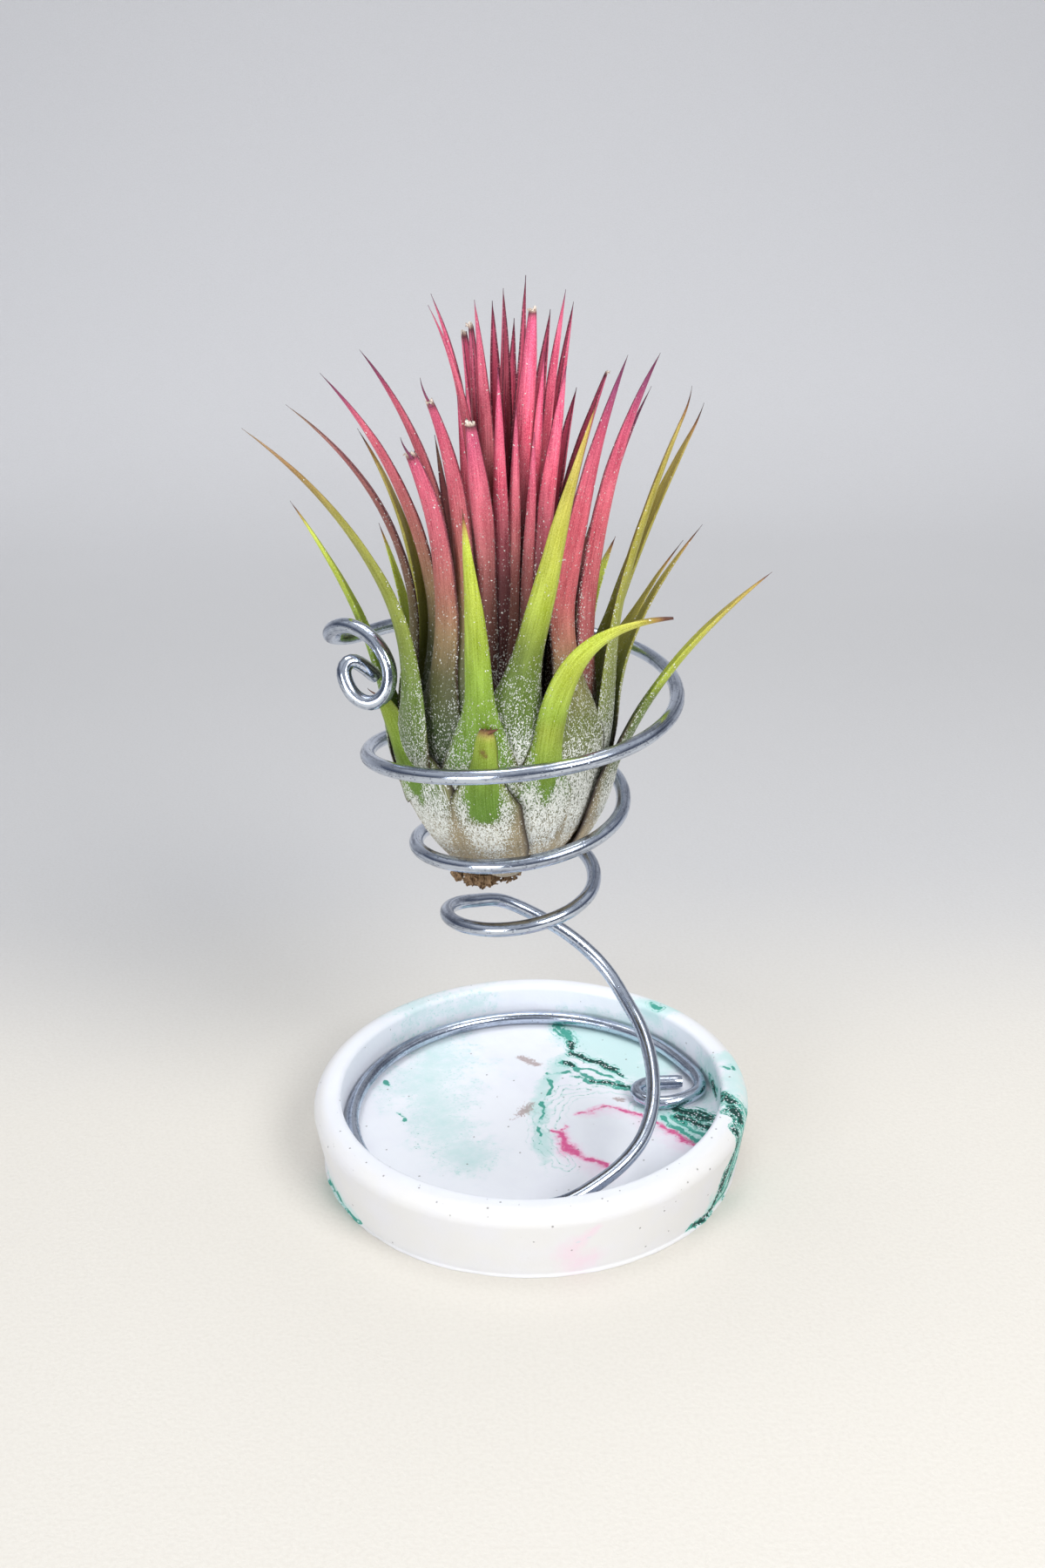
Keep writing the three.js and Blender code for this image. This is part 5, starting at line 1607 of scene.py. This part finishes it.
def swayed(points, seed, amount, longest):
    """Points moved a little in every direction, so that straight marks wander."""
    random = np.random.default_rng(seed)
    moved = points.copy()
    for axis in range(3):
        for wave in range(4):
            direction = unit(random.normal(size=3)) * 2 * np.pi * 1.8**wave / longest
            shift = np.sin(points @ direction + random.uniform(0, 6.28)) / (1.5**wave)
            moved[:, axis] += amount * shift
    return moved


def make_dish(settings):
    """The dish, turned from its profile and made a little uneven."""
    around = 500
    profile = dish_profile(settings)
    angle = np.arange(around) * 2 * np.pi / around
    turn = np.degrees(angle)
    radius = np.repeat(profile[:, :1], around, 1)
    height = np.repeat(profile[:, 1:2], around, 1)
    lip = np.clip(0.42 + 0.5 * ripple(turn, 5, 120, 5) + 0.12 * ripple(turn, 6, 9, 3), 0.05, 1)
    radius = radius + profile[:, 2:3] * (settings.flash / MM * lip)[None]
    wall = smoothstep(height, 1, 4)
    side = smoothstep(radius, 33, 34.5)
    radius = radius + 0.1 * ripple(turn, 7, 180, 4)[None] * wall * side
    height = height + 0.12 * ripple(turn, 8, 120, 3)[None] * smoothstep(height, 11, 13)
    sink = smoothstep(33.5 - radius, 0, 6) * (height > 5)
    height = height - 0.18 * sink * smoothstep(30 - radius, 0, 30)
    x, y = radius * np.cos(angle), radius * np.sin(angle)
    rough = 0.05 * ripple(x + 0.6 * y, 9, 7, 4) * (height > 0.6)
    height = height + rough * (side < 1)
    points = np.stack([x, y, height], -1).reshape(-1, 3)
    low = np.array([[0, 0, 0]])
    top = np.array([[0, 0, height[-1].mean()]])
    points = np.concatenate([points, low, top])
    faces = ring_faces(len(profile), around).tolist()
    below = len(profile) * around
    last = below - around
    for k in range(around):
        after = (k + 1) % around
        faces.append([below, after, k])
        faces.append([last + k, last + after, below + 1])
    wander = swayed(points, 12, 0.28, 7)
    paler = between(0.6, 1, smoothstep(points[:, 0], -6, 4))
    fields = {
        "teal": nearness(wander, TEAL_LINES, 0.95),
        "ink": nearness(wander, INK_LINES, 1.05),
        "blush": nearness(wander, BLUSH_LINES, 1.05),
        "blush_wash": nearness(wander, BLUSH_WASHES),
        "aqua": nearness(swayed(points, 14, 0.7, 12), AQUA_WASHES) * paler,
        "run": flow(wander, TEAL_LINES + INK_LINES),
        "outer": smoothstep(np.hypot(points[:, 0], points[:, 1]), 36.5, 39),
        "earth": nearness(wander, EARTH_MARKS, 1.1),
        "specks": nearness(swayed(points, 13, 0.5, 9), SPECK_LINES),
        "worn": smoothstep(points[:, 2], 11, 13.6) * smoothstep(-points[:, 1], -10, 30),
        "stream": nearness(swayed(points, 15, 0.4, 9), stream_lines()),
    }
    piece = add_piece("dish_cast", points, faces, dish_material(settings), fields)
    settle(piece, "cast_dish", "dish")


def stream_lines():
    """The courses that the fine lines run beside, with the width that they fill."""
    wide = 2.6
    return [[(*knot, wide) if len(knot) == 2 else (*knot, wide * 0.7) for knot in line] for line in STREAMS]


# Stage

def make_stage(settings):
    """Floor and backdrop in one sweep, the camera and the lights."""
    course = [(STAGE_FRONT, 0.0), (SWEEP_START, 0.0)]
    for turn in np.radians(np.linspace(0, 90, 25)[1:]):
        reach = SWEEP_RADIUS * math.sin(turn)
        course.append((SWEEP_START + reach, SWEEP_RADIUS - SWEEP_RADIUS * math.cos(turn)))
    course.append((SWEEP_START + SWEEP_RADIUS, WALL_TOP))
    points = [(x, y, z) for y, z in course for x in (-STAGE_HALF_WIDTH, STAGE_HALF_WIDTH)]
    faces = [(2 * k, 2 * k + 1, 2 * k + 3, 2 * k + 2) for k in range(len(course) - 1)]
    sweep = add_piece("sweep", np.array(points) / MM, faces, stage_material(settings))
    for name, place, goal, size, colour in LIGHTS:
        area_light(name, place, goal, size, getattr(settings, f"{name}_power"), colour)
    make_camera(settings)
    make_world()


def make_camera(settings):
    """The camera at the photograph's viewing angle, rolled a little."""
    camera = new_object("camera", bpy.data.cameras.new("camera"))
    roll = math.radians(CAMERA_ROLL)
    pitch = math.radians(CAMERA_PITCH)
    ahead = Vector((0, math.cos(pitch), -math.sin(pitch)))
    level_up = Vector((0, math.sin(pitch), math.cos(pitch)))
    right = Vector((1, 0, 0)) * math.cos(roll) + level_up * math.sin(roll)
    upward = level_up * math.cos(roll) - Vector((1, 0, 0)) * math.sin(roll)
    turn = Matrix((right, upward, -ahead)).transposed().to_4x4()
    camera.matrix_world = Matrix.Translation(CAMERA_PLACE) @ turn
    camera.data.lens = settings.lens
    camera.data.clip_start = 0.01
    camera.data.clip_end = 10
    bpy.context.scene.camera = camera


def make_world():
    """Soft light from all round, paler above."""
    world = bpy.data.worlds.new("room")
    world.use_nodes = True
    world.node_tree.nodes.clear()
    plan = Plan(world.node_tree)
    height = plan.part(plan.node("ShaderNodeTexCoord", None, "Generated"), "Z")
    sky = plan.mix(plan.rise(height, 0.15, 0.7), shade(108, 115, 132), shade(234, 236, 240))
    glow = plan.node("ShaderNodeBackground", {"Color": sky, "Strength": 0.72}, "Background")
    plan.node("ShaderNodeOutputWorld", {"Surface": glow})
    bpy.context.scene.world = world
    bpy.context.scene.view_settings.view_transform = "Standard"


def area_light(name, place, goal, size, power, colour):
    light = bpy.data.lights.new(name, "AREA")
    light.shape = "RECTANGLE"
    light.size, light.size_y = size
    light.energy = power
    light.color = colour
    lamp = new_object(name, light)
    lamp.location = place
    lamp.rotation_mode = "QUATERNION"
    lamp.rotation_quaternion = (Vector(goal) - Vector(place)).to_track_quat("-Z", "Y")


class SKYPLANT_OT_dish(bpy.types.Operator):
    """Make the marbled cast dish"""

    bl_idname = "skyplant.dish"
    bl_label = "Dish"

    def execute(self, context):
        make_dish(context.scene.skyplant_dish)
        return {"FINISHED"}


class SKYPLANT_OT_wire(bpy.types.Operator):
    """Make the spiral wire stand"""

    bl_idname = "skyplant.wire"
    bl_label = "Wire stand"

    def execute(self, context):
        make_wire(context.scene.skyplant_wire)
        return {"FINISHED"}


class SKYPLANT_OT_outer_leaves(bpy.types.Operator):
    """Make the leaves at the front and the sides"""

    bl_idname = "skyplant.outer_leaves"
    bl_label = "Outer leaves"

    def execute(self, context):
        make_leaves(OUTER_LEAVES, context.scene.skyplant_plant, 0)
        return {"FINISHED"}


class SKYPLANT_OT_back_leaves(bpy.types.Operator):
    """Make the leaves at the back"""

    bl_idname = "skyplant.back_leaves"
    bl_label = "Back leaves"

    def execute(self, context):
        make_leaves(back_leaves(), context.scene.skyplant_plant, 30)
        return {"FINISHED"}


class SKYPLANT_OT_heart(bpy.types.Operator):
    """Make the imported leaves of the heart"""

    bl_idname = "skyplant.heart"
    bl_label = "Heart"

    def execute(self, context):
        make_heart(context.scene.skyplant_plant)
        return {"FINISHED"}


class SKYPLANT_OT_scales(bpy.types.Operator):
    """Scatter raised scales over the leaves"""

    bl_idname = "skyplant.scales"
    bl_label = "Scales"

    def execute(self, context):
        make_scales(context.scene.skyplant_plant)
        return {"FINISHED"}


class SKYPLANT_OT_foot(bpy.types.Operator):
    """Make the withered sheaths under the bulb"""

    bl_idname = "skyplant.foot"
    bl_label = "Dried foot"

    def execute(self, context):
        make_foot(context.scene.skyplant_plant)
        return {"FINISHED"}


class SKYPLANT_OT_stage(bpy.types.Operator):
    """Make the floor, the lights and the camera"""

    bl_idname = "skyplant.stage"
    bl_label = "Stage"

    def execute(self, context):
        make_stage(context.scene.skyplant_stage)
        return {"FINISHED"}


OPERATORS = (
    SKYPLANT_OT_stage, SKYPLANT_OT_dish, SKYPLANT_OT_wire, SKYPLANT_OT_outer_leaves,
    SKYPLANT_OT_back_leaves, SKYPLANT_OT_heart, SKYPLANT_OT_scales, SKYPLANT_OT_foot,
)


class SKYPLANT_PT_panel(bpy.types.Panel):
    """Lists what makes the sky plant"""

    bl_idname = "SKYPLANT_PT_panel"
    bl_label = "Sky plant"
    bl_space_type = "VIEW_3D"
    bl_region_type = "UI"
    bl_category = "Sky plant"

    def draw(self, context):
        for operator in OPERATORS:
            self.layout.operator(operator.bl_idname)


SETTINGS = {
    "skyplant_dish": DishSettings,
    "skyplant_wire": WireSettings,
    "skyplant_plant": PlantSettings,
    "skyplant_stage": StageSettings,
}


def register():
    for kind in (*SETTINGS.values(), *OPERATORS, SKYPLANT_PT_panel):
        bpy.utils.register_class(kind)
    for name, kind in SETTINGS.items():
        setattr(bpy.types.Scene, name, bpy.props.PointerProperty(type=kind))


def unregister():
    for name in SETTINGS:
        delattr(bpy.types.Scene, name)
    for kind in reversed((*SETTINGS.values(), *OPERATORS, SKYPLANT_PT_panel)):
        bpy.utils.unregister_class(kind)


def main():
    register()
    for operator in OPERATORS:
        group, name = operator.bl_idname.split(".")
        getattr(getattr(bpy.ops, group), name)()


if __name__ == "__main__":
    main()
